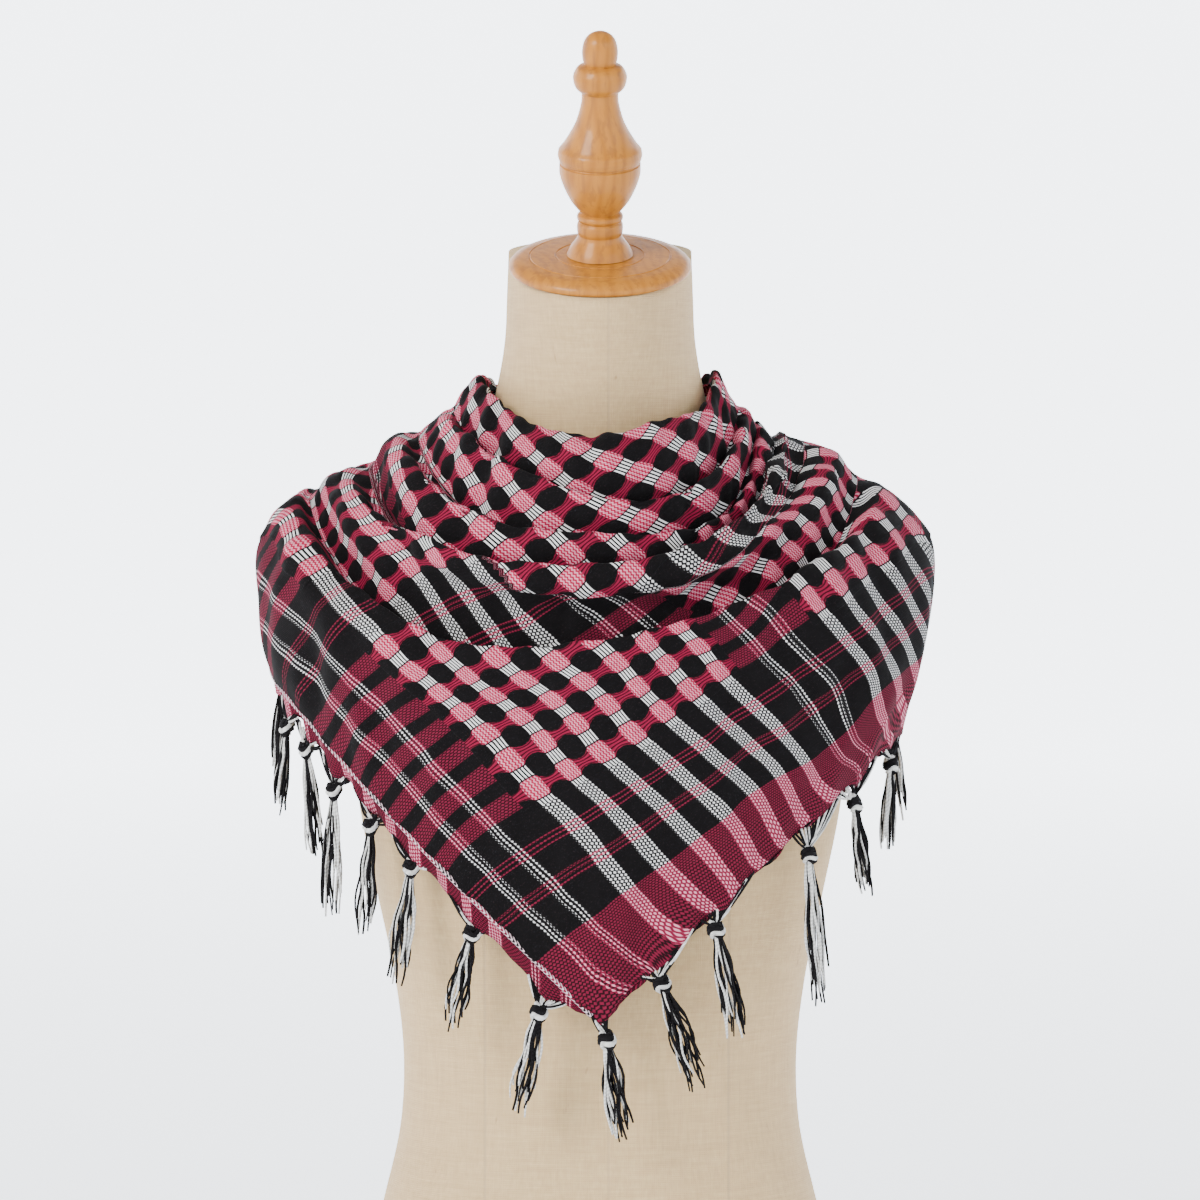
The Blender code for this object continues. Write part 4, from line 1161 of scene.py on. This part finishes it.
# %% Linen over the padding
def linen_material():
    """Slubby linen: fine crossed threads, brown flecks, and sewn seams down the front."""
    material, tree, shader = new_material("linen", Roughness=0.9, Sheen_Weight=0.1,
                                          Specular_IOR_Level=0.25)
    place = object_place(tree)
    x, y, z = split(tree, place)
    lengthwise = noise(tree, place, 60, 3.0, 0.6, (16, 16, 1))
    crosswise = noise(tree, place, 60, 3.0, 0.6, (1, 1, 16))
    cloudy = noise(tree, place, 9, 2.0)
    slubs = noise(tree, place, 30, 3.0, 0.65, (1, 1, 14)) + noise(tree, place, 30, 3.0, 0.65, (14, 14, 1))
    fleck = noise(tree, place, 140, 2.0, 0.6, (1, 1, 0.35)).over(0.735, 0.05)
    shade = lengthwise * 0.5 + crosswise * 0.5
    colour = blend_colour(tree, (shade - 0.3) * 1.8, (0.44, 0.295, 0.135), (0.62, 0.45, 0.245))
    colour = blend_colour(tree, ((slubs - 1.0) * 2.2 + 0.3).clamped() * 0.5, colour,
                          (0.36, 0.235, 0.115))
    colour = blend_colour(tree, cloudy * 0.25, colour, (0.43, 0.29, 0.145))
    colour = blend_colour(tree, fleck * 0.55, colour, (0.22, 0.12, 0.06))
    front = y.under(0.0, 0.002)
    seam = None
    for middle, depth in LINEN_SEAMS:
        line = abs(x - middle).under(0.00075, 0.0006) * depth
        seam = line if seam is None else seam.higher(line)
    seam = seam * front
    colour = blend_colour(tree, seam * 0.45, colour, (0.33, 0.24, 0.14))
    plug(tree, shader.inputs["Base Color"], colour)
    height = (x.cos(0.0011) + z.cos(0.0011)) * 0.25 + shade * 0.8 - seam
    plug(tree, shader.inputs["Normal"], raise_by(tree, height, 0.25 * MM, 0.6))
    return material


turns = np.linspace(0, 2 * math.pi, FORM_ROUND, endpoint=False)
knots = [section.height for section in FORM_SECTIONS]
heights = sorted(set(np.round(np.concatenate((steps(6, 688, 110), knots)), 2)))
rings = [form_ring(smooth_curve(knots, FORM_SECTIONS, [height])[0], turns) for height in heights]
linen = linen_material()
torso = finished(tube_from(rings), "torso", linen)
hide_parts("form_torso")
print("torso", len(torso.data.polygons), "faces")

# %% [markdown]
# ## The turned cap and finial
# Both are turned on a lathe and varnished. Each profile is a chain of smooth curves that meet
# in corners, just as a turner cuts coves and beads; spinning the chain makes the solid.

# %% Turned wood
NECK_TILT = math.radians(18)
CAP_CENTRE = Vector((0, -0.0335, 0.6883))
FINIAL_SEAT = 9.6 * MM
CAP_CURVES = (
    ((0, 9.3), (12, 9.3), (25.6, 9.0)),
    ((25.6, 9.0), (26.2, 8.5), (26.9, 9.0)),
    ((26.9, 9.0), (34, 8.8), (41.2, 8.5)),
    ((41.2, 8.5), (41.8, 7.9), (42.5, 8.3)),
    ((42.5, 8.3), (47.5, 7.6), (51.4, 6.1), (53.7, 4.0), (54.3, 2.2), (53.6, 0.4), (52, 0)),
    ((52, 0), (0, 0)),
)
FINIAL_CURVES = (
    ((0, 137), (3.2, 136.5), (6.6, 134.7), (9.2, 131.3), (10.5, 126), (10.4, 121), (9.5, 116.8)),
    ((9.5, 116.8), (13.2, 115.2), (15.6, 111), (15.8, 107.4), (14.4, 103), (10.8, 99.6)),
    ((10.8, 99.6), (11.2, 93), (14.6, 81), (20.6, 70), (24.6, 64.6)),
    ((24.6, 64.6), (25.0, 61.4), (24.2, 58.2)),
    ((24.2, 58.2), (23.2, 57.6), (23.2, 56.6), (24.0, 56.0)),
    ((24.0, 56.0), (23.9, 50), (21.6, 42.4), (17.2, 33.5), (11.4, 26.1)),
    ((11.4, 26.1), (13.4, 24.6), (13.6, 22.4), (12.4, 20.6)),
    ((12.4, 20.6), (13.6, 18.6), (13.5, 14.4), (12.8, 12.3)),
    ((12.8, 12.3), (14.0, 9.6), (17.6, 4.6), (19.8, 0)),
    ((19.8, 0), (0, 0)),
)


def spun(outline, around, apart=1e-6):
    """An outline of (radius, height) in metres, spun round the upright axis."""
    bm = bmesh.new()
    line = [bm.verts.new((radius, 0, height)) for radius, height in outline]
    edges = [bm.edges.new(pair) for pair in zip(line, line[1:])]
    bmesh.ops.spin(bm, geom=line + edges, cent=(0, 0, 0), axis=(0, 0, 1), angle=2 * math.pi,
                   steps=around, use_merge=True)
    bmesh.ops.remove_doubles(bm, verts=bm.verts[:], dist=apart)
    bmesh.ops.recalc_face_normals(bm, faces=bm.faces[:])
    return bm


def turned(name, curves, seat, material, around=96):
    """Smooth curves joined at corners, spun round the neck's tilted axis."""
    profile = [curves[0][0]]
    for curve in curves:
        knots = range(len(curve))
        if len(curve) == 2:
            points = [curve[1]]
        else:
            points = smooth_curve(knots, curve, steps(0, len(curve) - 1, 5 * (len(curve) - 1)))[1:]
        profile += [tuple(point) for point in points]
    bm = spun([(max(radius, 0) * MM, height * MM) for radius, height in profile], around)
    bmesh.ops.transform(bm, verts=bm.verts[:], matrix=Matrix.Translation(seat)
                        @ Matrix.Rotation(NECK_TILT, 4, "X"))
    piece = finished(bm, name, material)
    piece.data.set_sharp_from_angle(angle=math.radians(38))
    return piece


# %% [markdown]
# ### Varnished wood
# The grain runs upwards, so a wave across the piece is bent by drifting noise and sharpened
# into lines, with narrow pores between. A thin clear coat gives the soft gloss of varnish.


# %% The varnish, the cap and the finial
def wood_material():
    """Pale hardwood with fine upright grain under a thin orange varnish."""
    material, tree, shader = new_material("varnished_wood", Roughness=0.45, Coat_Weight=0.18,
                                          Specular_IOR_Level=0.15,
                                          Coat_Roughness=0.12, Coat_IOR=1.5)
    mapping = tree.nodes.new("ShaderNodeMapping")
    mapping.inputs["Rotation"].default_value = (-NECK_TILT, 0, 0)
    plug(tree, mapping.inputs["Vector"], object_place(tree))
    place = mapping.outputs[0]
    x, y, z = split(tree, place)
    drift = noise(tree, place, 14, 2.0, 0.5, (1, 1, 0.3))
    rings = ((x + y * 0.35 + drift * 0.045).cos(0.0075) * 0.5 + 0.5).power(2.2)
    pores = noise(tree, place, 260, 2.0, 0.6, (1, 1, 0.06)).over(0.56, 0.1)
    colour = blend_colour(tree, rings * 0.55, (0.365, 0.130, 0.012), (0.22, 0.066, 0.005))
    colour = blend_colour(tree, drift * 0.5, colour, (0.43, 0.180, 0.020))
    colour = blend_colour(tree, pores * 0.5, colour, (0.21, 0.075, 0.014))
    plug(tree, shader.inputs["Base Color"], colour)
    plug(tree, shader.inputs["Normal"], raise_by(tree, pores * -0.5, 0.1 * MM, 0.3))
    return material


varnished_wood = wood_material()
cap = turned("neck_cap_turned", CAP_CURVES, CAP_CENTRE, varnished_wood, 128)
neck_axis = Matrix.Rotation(NECK_TILT, 3, "X") @ Vector((0, 0, 1))
finial = turned("finial_turned", FINIAL_CURVES, CAP_CENTRE + neck_axis * FINIAL_SEAT,
                varnished_wood)
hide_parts("neck_cap")
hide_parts("finial")
print("cap and finial", len(cap.data.polygons), len(finial.data.polygons), "faces")

# %% [markdown]
# ## The knot and the tails behind
# The photograph doesn't show the back. The two ends must be held somewhere, and the usual way is
# a single knot at the nape, with the ends hanging from it. One end is wrapped over the other, so
# a band of pleats crosses the knot. Each tail is a corner of the cloth and narrows to a point.

# %% The knot at the nape
KNOT_CENTRE = Vector((0, 0.0905, 0.5735))
KNOT_HALF = Vector((0.0264, 0.019, 0.0265))
BAND_SLANT = 0.45                   # the wrapped end crosses the knot at a slant
BAND_HALF = 0.42                    # half its width, where the knot's half width is 1

bm = bmesh.new()
bmesh.ops.create_uvsphere(bm, u_segments=72, v_segments=44, radius=1)
cloth_map = bm.loops.layers.uv.new("cloth")
for vert in bm.verts:
    x, y, z = vert.co
    square = 0.16 * (x**4 + y**4 + z**4) ** -0.25 + 0.84
    across = x + BAND_SLANT * z
    wrap = math.exp(-(across / BAND_HALF) ** 2)
    pleats = 0.05 * math.cos(11 * across) + 0.03 * math.cos(23 * z - 4 * x) * (1 - wrap)
    vert.co = Vector((x * square * KNOT_HALF.x, y * (0.78 + 0.3 * wrap + pleats) * KNOT_HALF.y,
                      z * (square + 0.06 * wrap) * KNOT_HALF.z)) + KNOT_CENTRE
for face in bm.faces:
    for loop in face.loops:
        spot = loop.vert.co - KNOT_CENTRE
        loop[cloth_map].uv = (0.35 + spot.x + spot.z * 0.4, 0.15 + spot.z - spot.x * 0.4)
nape_knot = finished(bm, "nape_knot_cloth", scarf_weave)
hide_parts("nape_knot")
print("knot", len(nape_knot.data.polygons), "faces")

# %% [markdown]
# ## The tails
# A tail is a corner of the square, so its threads run slantwise to its edges. It is drawn as a
# line of steps from the knot to the tip, each with a width and a depth of pleats, and is given
# its own stretch of the pattern, up to the fringe at its tip.

# %% The tails
TailStep = namedtuple("TailStep", "side depth height width fold")
TAIL_STEPS = {
    "right": (TailStep(11, 92, 546.2, 17, 2.2), TailStep(19, 104, 522, 32, 4.5),
              TailStep(29, 113, 488, 56, 6.5), TailStep(38, 117, 446, 70, 7),
              TailStep(45, 117, 400, 62, 6), TailStep(51, 114, 356, 36, 3.5),
              TailStep(54, 112, 322, 9, 1.2)),
    "left": (TailStep(-11, 94, 546.6, 17, 2.2), TailStep(-22, 106, 520, 30, 4.5),
             TailStep(-35, 114, 484, 52, 6.5), TailStep(-47, 117, 444, 64, 7),
             TailStep(-57, 116, 404, 54, 5.5), TailStep(-64, 113, 368, 30, 3),
             TailStep(-68, 111, 340, 9, 1.2)),
}
TAIL_PLEATS = 2.5                   # half waves of pleats across a tail
TAIL_DRIFT = 2.2                    # how far the pleats wander on their way down
TAIL_LENGTH = 240.0


def tail_points(side, places, across):
    """Points on the middle of a tail's wall: places run down it, across runs from -1 to 1."""
    table = TAIL_STEPS[side]
    knots = np.linspace(0, 1, len(table))
    frames = smooth_curve(knots, table, places)[:, None, :] * MM
    across = np.asarray(across, float)[None, :]
    wave = np.cos(math.pi * TAIL_PLEATS * across + TAIL_DRIFT * np.asarray(places)[:, None])
    return np.stack((frames[..., 0] + frames[..., 3] / 2 * across,
                     frames[..., 1] + frames[..., 4] * wave,
                     frames[..., 2] + 0 * wave), axis=-1)


def tail_cloth(side, places, across):
    """The threads of a corner of the square: its tip at the bottom, its bias down the tail."""
    widths = smooth_curve(np.linspace(0, 1, 7), [s.width for s in TAIL_STEPS[side]], places)
    up = (1 - np.asarray(places))[:, None] * TAIL_LENGTH + 0 * across[None, :]
    over = widths[:, None] / 2 * across[None, :]
    if side == "left":
        warp, weft = (up + over) / math.sqrt(2), CLOTH_LONG + (over - up) / math.sqrt(2)
    else:
        warp, weft = CLOTH_WIDE - (up - over) / math.sqrt(2), (up + over) / math.sqrt(2)
    return np.stack((warp, weft), axis=-1) * MM


tails = {}
for side in ("right", "left"):
    places, across = steps(0, 1, 80), steps(1, -1, 44)
    points = tail_points(side, places, across)
    points = points + grid_normals(points) * CLOTH_WALL / 2
    tail = cloth_piece("tail_cloth_" + side, points, tail_cloth(side, places, across),
                       scarf_weave, CLOTH_WALL)
    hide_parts("tail_" + side)
    tails[side] = tail
print("tails", [len(tail.data.polygons) for tail in tails.values()])

# %% [markdown]
# ## Threads
# The fringe is the warp itself, left unwoven. Every thread here is one small closed tube, made
# once and moved along its own path: about a thousand of them make the fringe, where single thick
# locks would look like rope. A map called thread keeps each one's tone and the length along it.

# %% A thread along a path
THREAD_SIDES = 5
MAP_SCALE = 10                      # the map called thread tells the way along in decimetres


def thread_template(stretches):
    """A unit tube along Z, cut into stretches."""
    bm = bmesh.new()
    bmesh.ops.create_cone(bm, cap_ends=True, segments=THREAD_SIDES, radius1=1, radius2=1, depth=1)
    bmesh.ops.translate(bm, verts=bm.verts[:], vec=(0, 0, 0.5))
    upright = [e for e in bm.edges if abs(e.verts[0].co.z - e.verts[1].co.z) > 0.5]
    bmesh.ops.subdivide_edges(bm, edges=upright, cuts=stretches - 1, use_grid_fill=True)
    mesh = bpy.data.meshes.new("thread_template")
    bm.to_mesh(mesh)
    bm.free()
    spots = np.array([tuple(vert.co) for vert in mesh.vertices])
    return mesh, spots


SHORT_THREAD = thread_template(12)
LONG_THREAD = thread_template(26)


def lay_thread(bm, layer, template, path, radius, tone, face):
    """Adds one tube to bm: path is its knots, radius its half width, face a direction across."""
    mesh, spots = template
    knots = np.linspace(0, 1, len(path))
    share = spots[:, 2]
    centre = smooth_curve(knots, path, share)
    ahead = smooth_curve(knots, path, np.minimum(share + 0.02, 1))
    behind = smooth_curve(knots, path, np.maximum(share - 0.02, 0))
    run = unit(ahead - behind)
    across = unit(np.cross(run, np.asarray(face, float)))
    out = np.cross(across, run)
    wide = radius * (1 - 0.3 * share**6)[:, None]
    placed = centre + (across * spots[:, :1] + out * spots[:, 1:2]) * wide
    length = way_along(np.asarray(path))[-1]
    first_vert, first_face = len(bm.verts), len(bm.faces)
    bm.from_mesh(mesh)
    bm.verts.index_update()
    bm.verts.ensure_lookup_table()
    bm.faces.ensure_lookup_table()
    for number in range(len(spots)):
        bm.verts[first_vert + number].co = placed[number]
    for number in range(first_face, len(bm.faces)):
        for loop in bm.faces[number].loops:
            loop[layer].uv = (tone, share[loop.vert.index - first_vert] * length * MAP_SCALE)


# %% [markdown]
# ### The cotton of the threads
# The tone that each thread was given picks black or white, and a wave along it, shifted from
# place to place, shades the twist of its strands. A little noise makes it fuzzy.


# %% Twisted cotton
def thread_material():
    """Loosely twisted cotton, black or white as the map called thread says."""
    material, tree, shader = new_material("thread", Roughness=0.9, Sheen_Weight=0.02,
                                          Specular_IOR_Level=0.06)
    place = uv_place(tree, "thread")
    tone, along, _ = split(tree, place)
    spot = object_place(tree)
    x, y, z = split(tree, spot)
    twist = (along * 100 + (x + y) * 500).cos(2.2) * 0.5 + 0.5
    fuzz = noise(tree, spot, 1500, 2.0)
    colour = blend_colour(tree, tone.over(0.5, 0.1), (0.0035, 0.003, 0.0035), (0.66, 0.65, 0.62))
    colour = blend_colour(tree, twist * 0.3 + fuzz * 0.2, colour, (0.012, 0.011, 0.012))
    plug(tree, shader.inputs["Base Color"], colour)
    plug(tree, shader.inputs["Normal"], raise_by(tree, twist + fuzz * 0.5, 0.3 * MM, 0.6))
    return material


thread_cotton = thread_material()
print("thread templates", len(SHORT_THREAD[1]), len(LONG_THREAD[1]), "vertices")

# %% [markdown]
# ## The selvedge
# Down the left side the upper layer ends in its selvedge, where the outermost warp threads are
# doubled and oversewn. It reads as a round cord with slanted stitches, so it is modelled as one.

# %% The selvedge cord
CORD_RADIUS = 1.5 * MM
CORD_SIDES = 10
EDGE_STEPS = 4                      # points on the edge for each degree round the body
EDGE_ANGLES = steps(-NAPE_ANGLE, NAPE_ANGLE, 2 * NAPE_ANGLE * EDGE_STEPS)
edge_strip, edge_normals = draped_sheet([EDGE_ROW - 0.1, EDGE_ROW], EDGE_ANGLES)
edge_line, edge_out = edge_strip[1], edge_normals[1]
edge_fall = unit(edge_strip[1] - edge_strip[0])
edge_length = way_along(edge_line)


def edge_at(angle, offset=0.0):
    """The edge's point, outward and downward directions and angle, offset metres past an angle."""
    way = np.interp(angle, EDGE_ANGLES, edge_length) + offset
    return [np.array([np.interp(way, edge_length, values[:, axis]) for axis in range(3)])
            for values in (edge_line, edge_out, edge_fall)] + [
                np.interp(way, edge_length, EDGE_ANGLES)]


def cord_material():
    """Slanted stitches of white and black over magenta, from the map called thread."""
    material, tree, shader = new_material("selvedge_thread", Roughness=0.85,
                                          Specular_IOR_Level=0.2)
    place = uv_place(tree, "thread")
    around, along, _ = split(tree, place)
    slant = along * 100 + around * 3.2
    stitch = slant.cos(3.2).over(0.15, 0.4)
    pink = (along * 100).cos(60).over(-0.2, 0.6)
    colour = blend_colour(tree, pink, BLACK, MAGENTA)
    colour = blend_colour(tree, stitch, colour, (0.58, 0.44, 0.47))
    plug(tree, shader.inputs["Base Color"], colour)
    plug(tree, shader.inputs["Normal"], raise_by(tree, stitch, 0.5 * MM, 0.8))
    return material


cord_angles = steps(-92, -1.5, 220)
cord_path = np.array([edge_at(angle)[0] - edge_at(angle)[1] * CORD_RADIUS * 0.5
                      for angle in cord_angles])
cord_run = unit(np.gradient(cord_path, axis=0))
cord_faces = np.array([edge_at(angle)[1] for angle in cord_angles])
cord_across = np.cross(cord_run, cord_faces)
cord_ring = []
for turn in np.linspace(0, 2 * math.pi, CORD_SIDES, endpoint=False):
    cord_ring.append(cord_path + (cord_across * math.cos(turn) + cord_faces * math.sin(turn))
                     * CORD_RADIUS)
bm = tube_from(np.transpose(np.array(cord_ring), (1, 0, 2)))
cord_map = bm.loops.layers.uv.new("thread")
cord_way = way_along(cord_path)
for face in bm.faces:
    for loop in face.loops:
        nearest = np.argmin(np.linalg.norm(cord_path - np.array(loop.vert.co), axis=1))
        spoke = np.array(loop.vert.co) - cord_path[nearest]
        loop[cord_map].uv = (abs(spoke @ cord_across[nearest]) / CORD_RADIUS * math.pi / 2,
                             cord_way[nearest] * MAP_SCALE)
cord = finished(bm, "selvedge_cord", cord_material())
print("selvedge cord", len(cord.data.polygons), "faces", round(cord_way[-1], 3), "metres")

# %% [markdown]
# ## The tassels
# Warp ends from a stretch of edge run together, are knotted, and hang free below. Most are black
# with white ones among them. Loose threads lie along the edge on their way to each knot, and
# below it each thread waves a little and ends where it was cut.

# %% The paths of a tassel's threads
TailTassel = namedtuple("TailTassel", "share lift")
TAIL_TASSELS = {"right": (TailTassel(0.45, 13), TailTassel(0.65, 6), TailTassel(0.85, 3),
                          TailTassel(1.0, 2)),
                "left": (TailTassel(0.45, 15), TailTassel(0.75, 5), TailTassel(1.0, 2))}
FAN_THREADS = 18
HANGING_THREADS = 20
THREAD_RADIUS = 0.78 * MM
WHITE_ABOVE = 0.35                  # the share of white threads above the knot
WHITE_BELOW = 0.38                  # and of those that hang below it
KNOT_STRANDS = 3                    # the knot is three thick threads, the middle one white
KNOT_THREAD = 1.9 * MM
KNOT_TURNS = 1.35
KNOT_WIDE = 3.3
KNOT_TALL = 8.5
CUT_SHORT, CUT_LONG = 0.72, 1.06    # the cut ends, as shares of the tassel's reach
UNDER_KNOTS = 11.0 * MM             # how far past the upper edge the under layer's fringe is knotted


Hang = namedtuple("Hang", "knot drop over face reach lean")     # a tassel's place and directions


def fan_path(start, hang, chance):
    """A thread from the edge to the knot, which sags a little on its way."""
    sag = (np.array((0, 0, -abs(chance.gauss(0, 1.2)) * MM))
           + hang.face * chance.gauss(0.6, 0.4) * MM)
    neck = hang.knot - hang.drop * 3 * MM + hang.over * chance.gauss(0, 1.0) * MM
    middle = start * 0.45 + neck * 0.55 + sag
    return [start, start * 0.7 + middle * 0.3 + sag * 0.3, middle, neck, hang.knot]


def knot_path(phase, hang):
    """A strand of the knot, which winds round the threads."""
    path = []
    for step in range(10):
        share = step / 9
        turn = phase + share * 2 * math.pi * KNOT_TURNS
        wide = KNOT_WIDE * math.sin(math.pi * (0.1 + 0.8 * share)) + 0.8
        climb = (share - 0.5) * KNOT_TALL + 1.6 * math.sin(turn * 2)
        spoke = hang.over * math.cos(turn) + hang.face * math.sin(turn) * 0.85
        path.append(hang.knot + spoke * wide * MM + hang.drop * climb * MM)
    return path


def hanging_path(turn, hang, chance):
    """A thread below the knot, which spreads, waves a little and ends where it was cut."""
    splay = hang.over * math.cos(turn) + hang.face * math.sin(turn) * 0.6
    long = hang.reach * chance.uniform(CUT_SHORT, CUT_LONG)
    wide = chance.uniform(1.6, 5.4) + 1.2 * abs(hang.lean)
    phase = chance.uniform(0, 6.3)
    wave = chance.uniform(0.7, 1.7)
    path = []
    for step in range(8):
        share = step / 7
        shake = math.sin(phase + share * 9.5) * wave * min(share * 3, 1)
        shift = math.cos(phase * 2 + share * 6) * 0.9 * share
        path.append(hang.knot + hang.drop * (2 * MM + (long - 2 * MM) * share)
                    + splay * (1.6 + wide * math.sin(math.pi * 0.62 * share)) * MM
                    + hang.over * (shake + hang.lean * 2 * share * share) * MM
                    + hang.face * shift * MM)
    return path


# %% [markdown]
# ### One tassel
# A tassel is a fan of threads from the edge, a knot of three thick strands, and the cut ends.
# All of them are joined in one bmesh, so each tassel is one piece.


# %% One tassel
def make_tassel(name, starts, knot, end, face, chance):
    """Threads from the starts on the edge to the knot, the knot itself, and the cut ends."""
    bm = bmesh.new()
    layer = bm.loops.layers.uv.new("thread")
    drop = unit(end - knot)
    hang = Hang(knot, drop, unit(np.cross(face, drop)), face, np.linalg.norm(end - knot), 0)
    for start in starts:
        tone = float(chance.random() < WHITE_ABOVE)
        lay_thread(bm, layer, SHORT_THREAD, fan_path(start, hang, chance), THREAD_RADIUS, tone,
                   face)
    for number in range(KNOT_STRANDS):
        phase = 2 * math.pi * number / KNOT_STRANDS + chance.random()
        lay_thread(bm, layer, LONG_THREAD, knot_path(phase, hang), KNOT_THREAD,
                   float(number == 1), drop)
    hang = hang._replace(lean=chance.uniform(-1, 1))
    for number in range(HANGING_THREADS):
        path = hanging_path(2 * math.pi * number / HANGING_THREADS, hang, chance)
        tone = float(chance.random() < WHITE_BELOW)
        lay_thread(bm, layer, SHORT_THREAD, path, THREAD_RADIUS * chance.uniform(0.8, 1.15), tone,
                   face)
    piece = finished(bm, "fringe_" + name, thread_cotton)
    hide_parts("tassel_" + name)
    return piece


# %% [markdown]
# ### Round the hems and down the tails
# The same function makes every tassel. Those of the hems start from points of the edge on both
# sides of their place, and those of the tails from the tail's outer edge or its tip. Each has a
# random source of its own, so a change to one leaves the others as they are.


# %% All the tassels
def edge_tassels(table, inset, sweep, places, deep):
    """Tassels whose threads leave the edge within sweep metres on both sides."""
    made = []
    for row in table:
        chance = random.Random(row.name)
        point, out, fall, _ = edge_at(row.angle)
        inward = inset if abs(row.angle) < UNDER_END else 1.1 * MM
        past = UNDER_KNOTS if -UNDER_END < row.angle < 0 else 0
        root = point - out * inward + fall * (past + 0.9 * MM)
        knot = root + np.array((row.side, 0, -row.drop)) * MM + out * 1.5 * MM
        end = knot + np.array((row.lean, 0, -row.reach)) * MM
        starts = []
        for number in range(FAN_THREADS):
            offset = (number / (FAN_THREADS - 1) * 2 - 1) * sweep * chance.uniform(0.75, 1.0)
            if row.name == "point":
                offset = offset * 0.3
            spot, way, down, angle = edge_at(row.angle, offset)
            past = under_edge(angle) * MM if -UNDER_END < row.angle < 0 else 0
            past = past + gathered([EDGE_ROW], [angle], places, deep)[0, 0]
            starts.append(spot - way * inward + down * (past - 1.2 * MM))
        made.append(make_tassel(row.name, starts, knot, end, out, chance))
    return made


def tail_tassels(side):
    """Tassels down the outer edge of a tail, the last one at its tip."""
    made = []
    sign = 1 if side == "right" else -1
    for number, (share, lift) in enumerate(TAIL_TASSELS[side]):
        chance = random.Random(side + str(number))
        last = share == 1
        around = np.clip(steps(share - 0.09, share + 0.09, FAN_THREADS - 1), 0, 1)
        line = tail_points(side, around, [0 if last else sign])[:, 0]
        root = tail_points(side, [share], [0 if last else sign])[0, 0]
        along = np.array((1.0, 0, 0)) if last else unit(line[-1] - line[0])
        out = np.array((0, 0, -1.0)) if last else unit((-along[2], 0, along[0])) * sign
        hang = np.array((sign, lift, -11)) if last else out * 9 + np.array((0, lift, -5))
        knot = root + out * 0.9 * MM + hang * MM
        end = knot + np.array((sign * 6.0, 3.0, -55.0)) * MM
        face = unit(np.cross(along, out))
        face = face * (1 if face[1] > 0 else -1)
        starts = [spot - out * 0.8 * MM for spot in line]
        if last:
            starts = [root + along * offset * MM for offset in steps(-3, 3, FAN_THREADS - 1)]
        made.append(make_tassel(f"tail_{side}_{number + 1}", starts, knot, end, face, chance))
    return made


front_fringe = edge_tassels(FRONT_TASSELS, 0.5 * MM, 24 * MM, TASSEL_ANGLES, FRINGE_PULL)
under_fringe = edge_tassels(UNDER_TASSELS, 2.4 * MM, 19 * MM, UNDER_TASSEL_ANGLES, UNDER_PULL)
back_fringe = {side: tail_tassels(side) for side in tails}
tassels = front_fringe + under_fringe + back_fringe["right"] + back_fringe["left"]
print("tassels", len(tassels), "faces", sum(len(piece.data.polygons) for piece in tassels))

# %% [markdown]
# ## What the cloth is
# The scarf is one square. The upper layer is a part of it, the under layer a smaller part, and
# the tails are two of its corners. The rest lies inside the neck folds, in the fold behind and in
# the knot. The areas say how much cloth each visible stretch takes when it is laid flat.

# %% The cut of the cloth
def flat_area(points_uv):
    """The area of cloth under a grid, from its thread coordinates."""
    a = points_uv[1:, 1:] - points_uv[:-1, :-1]
    b = points_uv[1:, :-1] - points_uv[:-1, 1:]
    return float(np.abs(a[..., 0] * b[..., 1] - a[..., 1] * b[..., 0]).sum() / 2)


print("upper flat", round(flat_area(threads(upper_cloth)), 3), "draped", round(upper_area, 3))
print("under flat", round(flat_area(under_uv), 3), "draped", round(under_area, 3))

# %% [markdown]
# ## Floor, wall and light
# A round cove of pale card stands for the studio, so every view has the same plain ground. Its
# wall glows a little behind the form, which keeps it as pale as in the photograph without more
# light on the cloth. Two large soft lights stand in front, the stronger one to the left.

# %% Studio
SKY = (0.93, 0.96, 1.0)
backdrop_card, tree, shader = new_material("backdrop_card", Roughness=0.9)
backdrop_card.cycles.emission_sampling = "NONE"
plug(tree, shader.inputs["Base Color"], (0.80, 0.82, 0.85))
plug(tree, shader.inputs["Emission Color"], SKY)
behind = split(tree, object_place(tree))[1].over(1.5, 7.0)
plug(tree, shader.inputs["Emission Strength"], behind * 2.6 + 0.5)
COVE = ((0, 0), (5.2, 0), (5.9, 0.15), (6.5, 0.6), (6.8, 1.3), (6.9, 2.2), (6.9, 4.5))
FLOOR_DROP = 0.0005                 # keeps the floor and the form's underside apart
cove = spun([(radius, height - FLOOR_DROP) for radius, height in COVE], 64, 0.0001)
backdrop = smooth_object(cove, "backdrop", backdrop_card)


LIT = Vector((0, 0, 0.5))           # both lights are turned to the middle of the scarf


def soft_light(name, place, size, power, colour):
    lamp = bpy.data.lights.new(name, "AREA")
    lamp.shape = "SQUARE"
    lamp.size = size
    lamp.energy = power
    lamp.color = colour
    item = bpy.data.objects.new(name, lamp)
    item.location = place
    item.rotation_euler = (LIT - Vector(place)).to_track_quat("-Z", "Y").to_euler()
    bpy.context.scene.collection.objects.link(item)


soft_light("key", (-2.4, -2.6, 2.5), 1.7, 230, (1.0, 0.99, 0.97))
soft_light("fill", (2.8, -2.6, 1.6), 2.4, 30, (0.97, 0.98, 1.0))
world = bpy.data.worlds.new("studio")
bpy.context.scene.world = world
world.use_nodes = True
sky = world.node_tree.nodes["Background"]
sky.inputs["Color"].default_value = (*SKY, 1)
sky.inputs["Strength"].default_value = 0.8
print("lights and cove made")
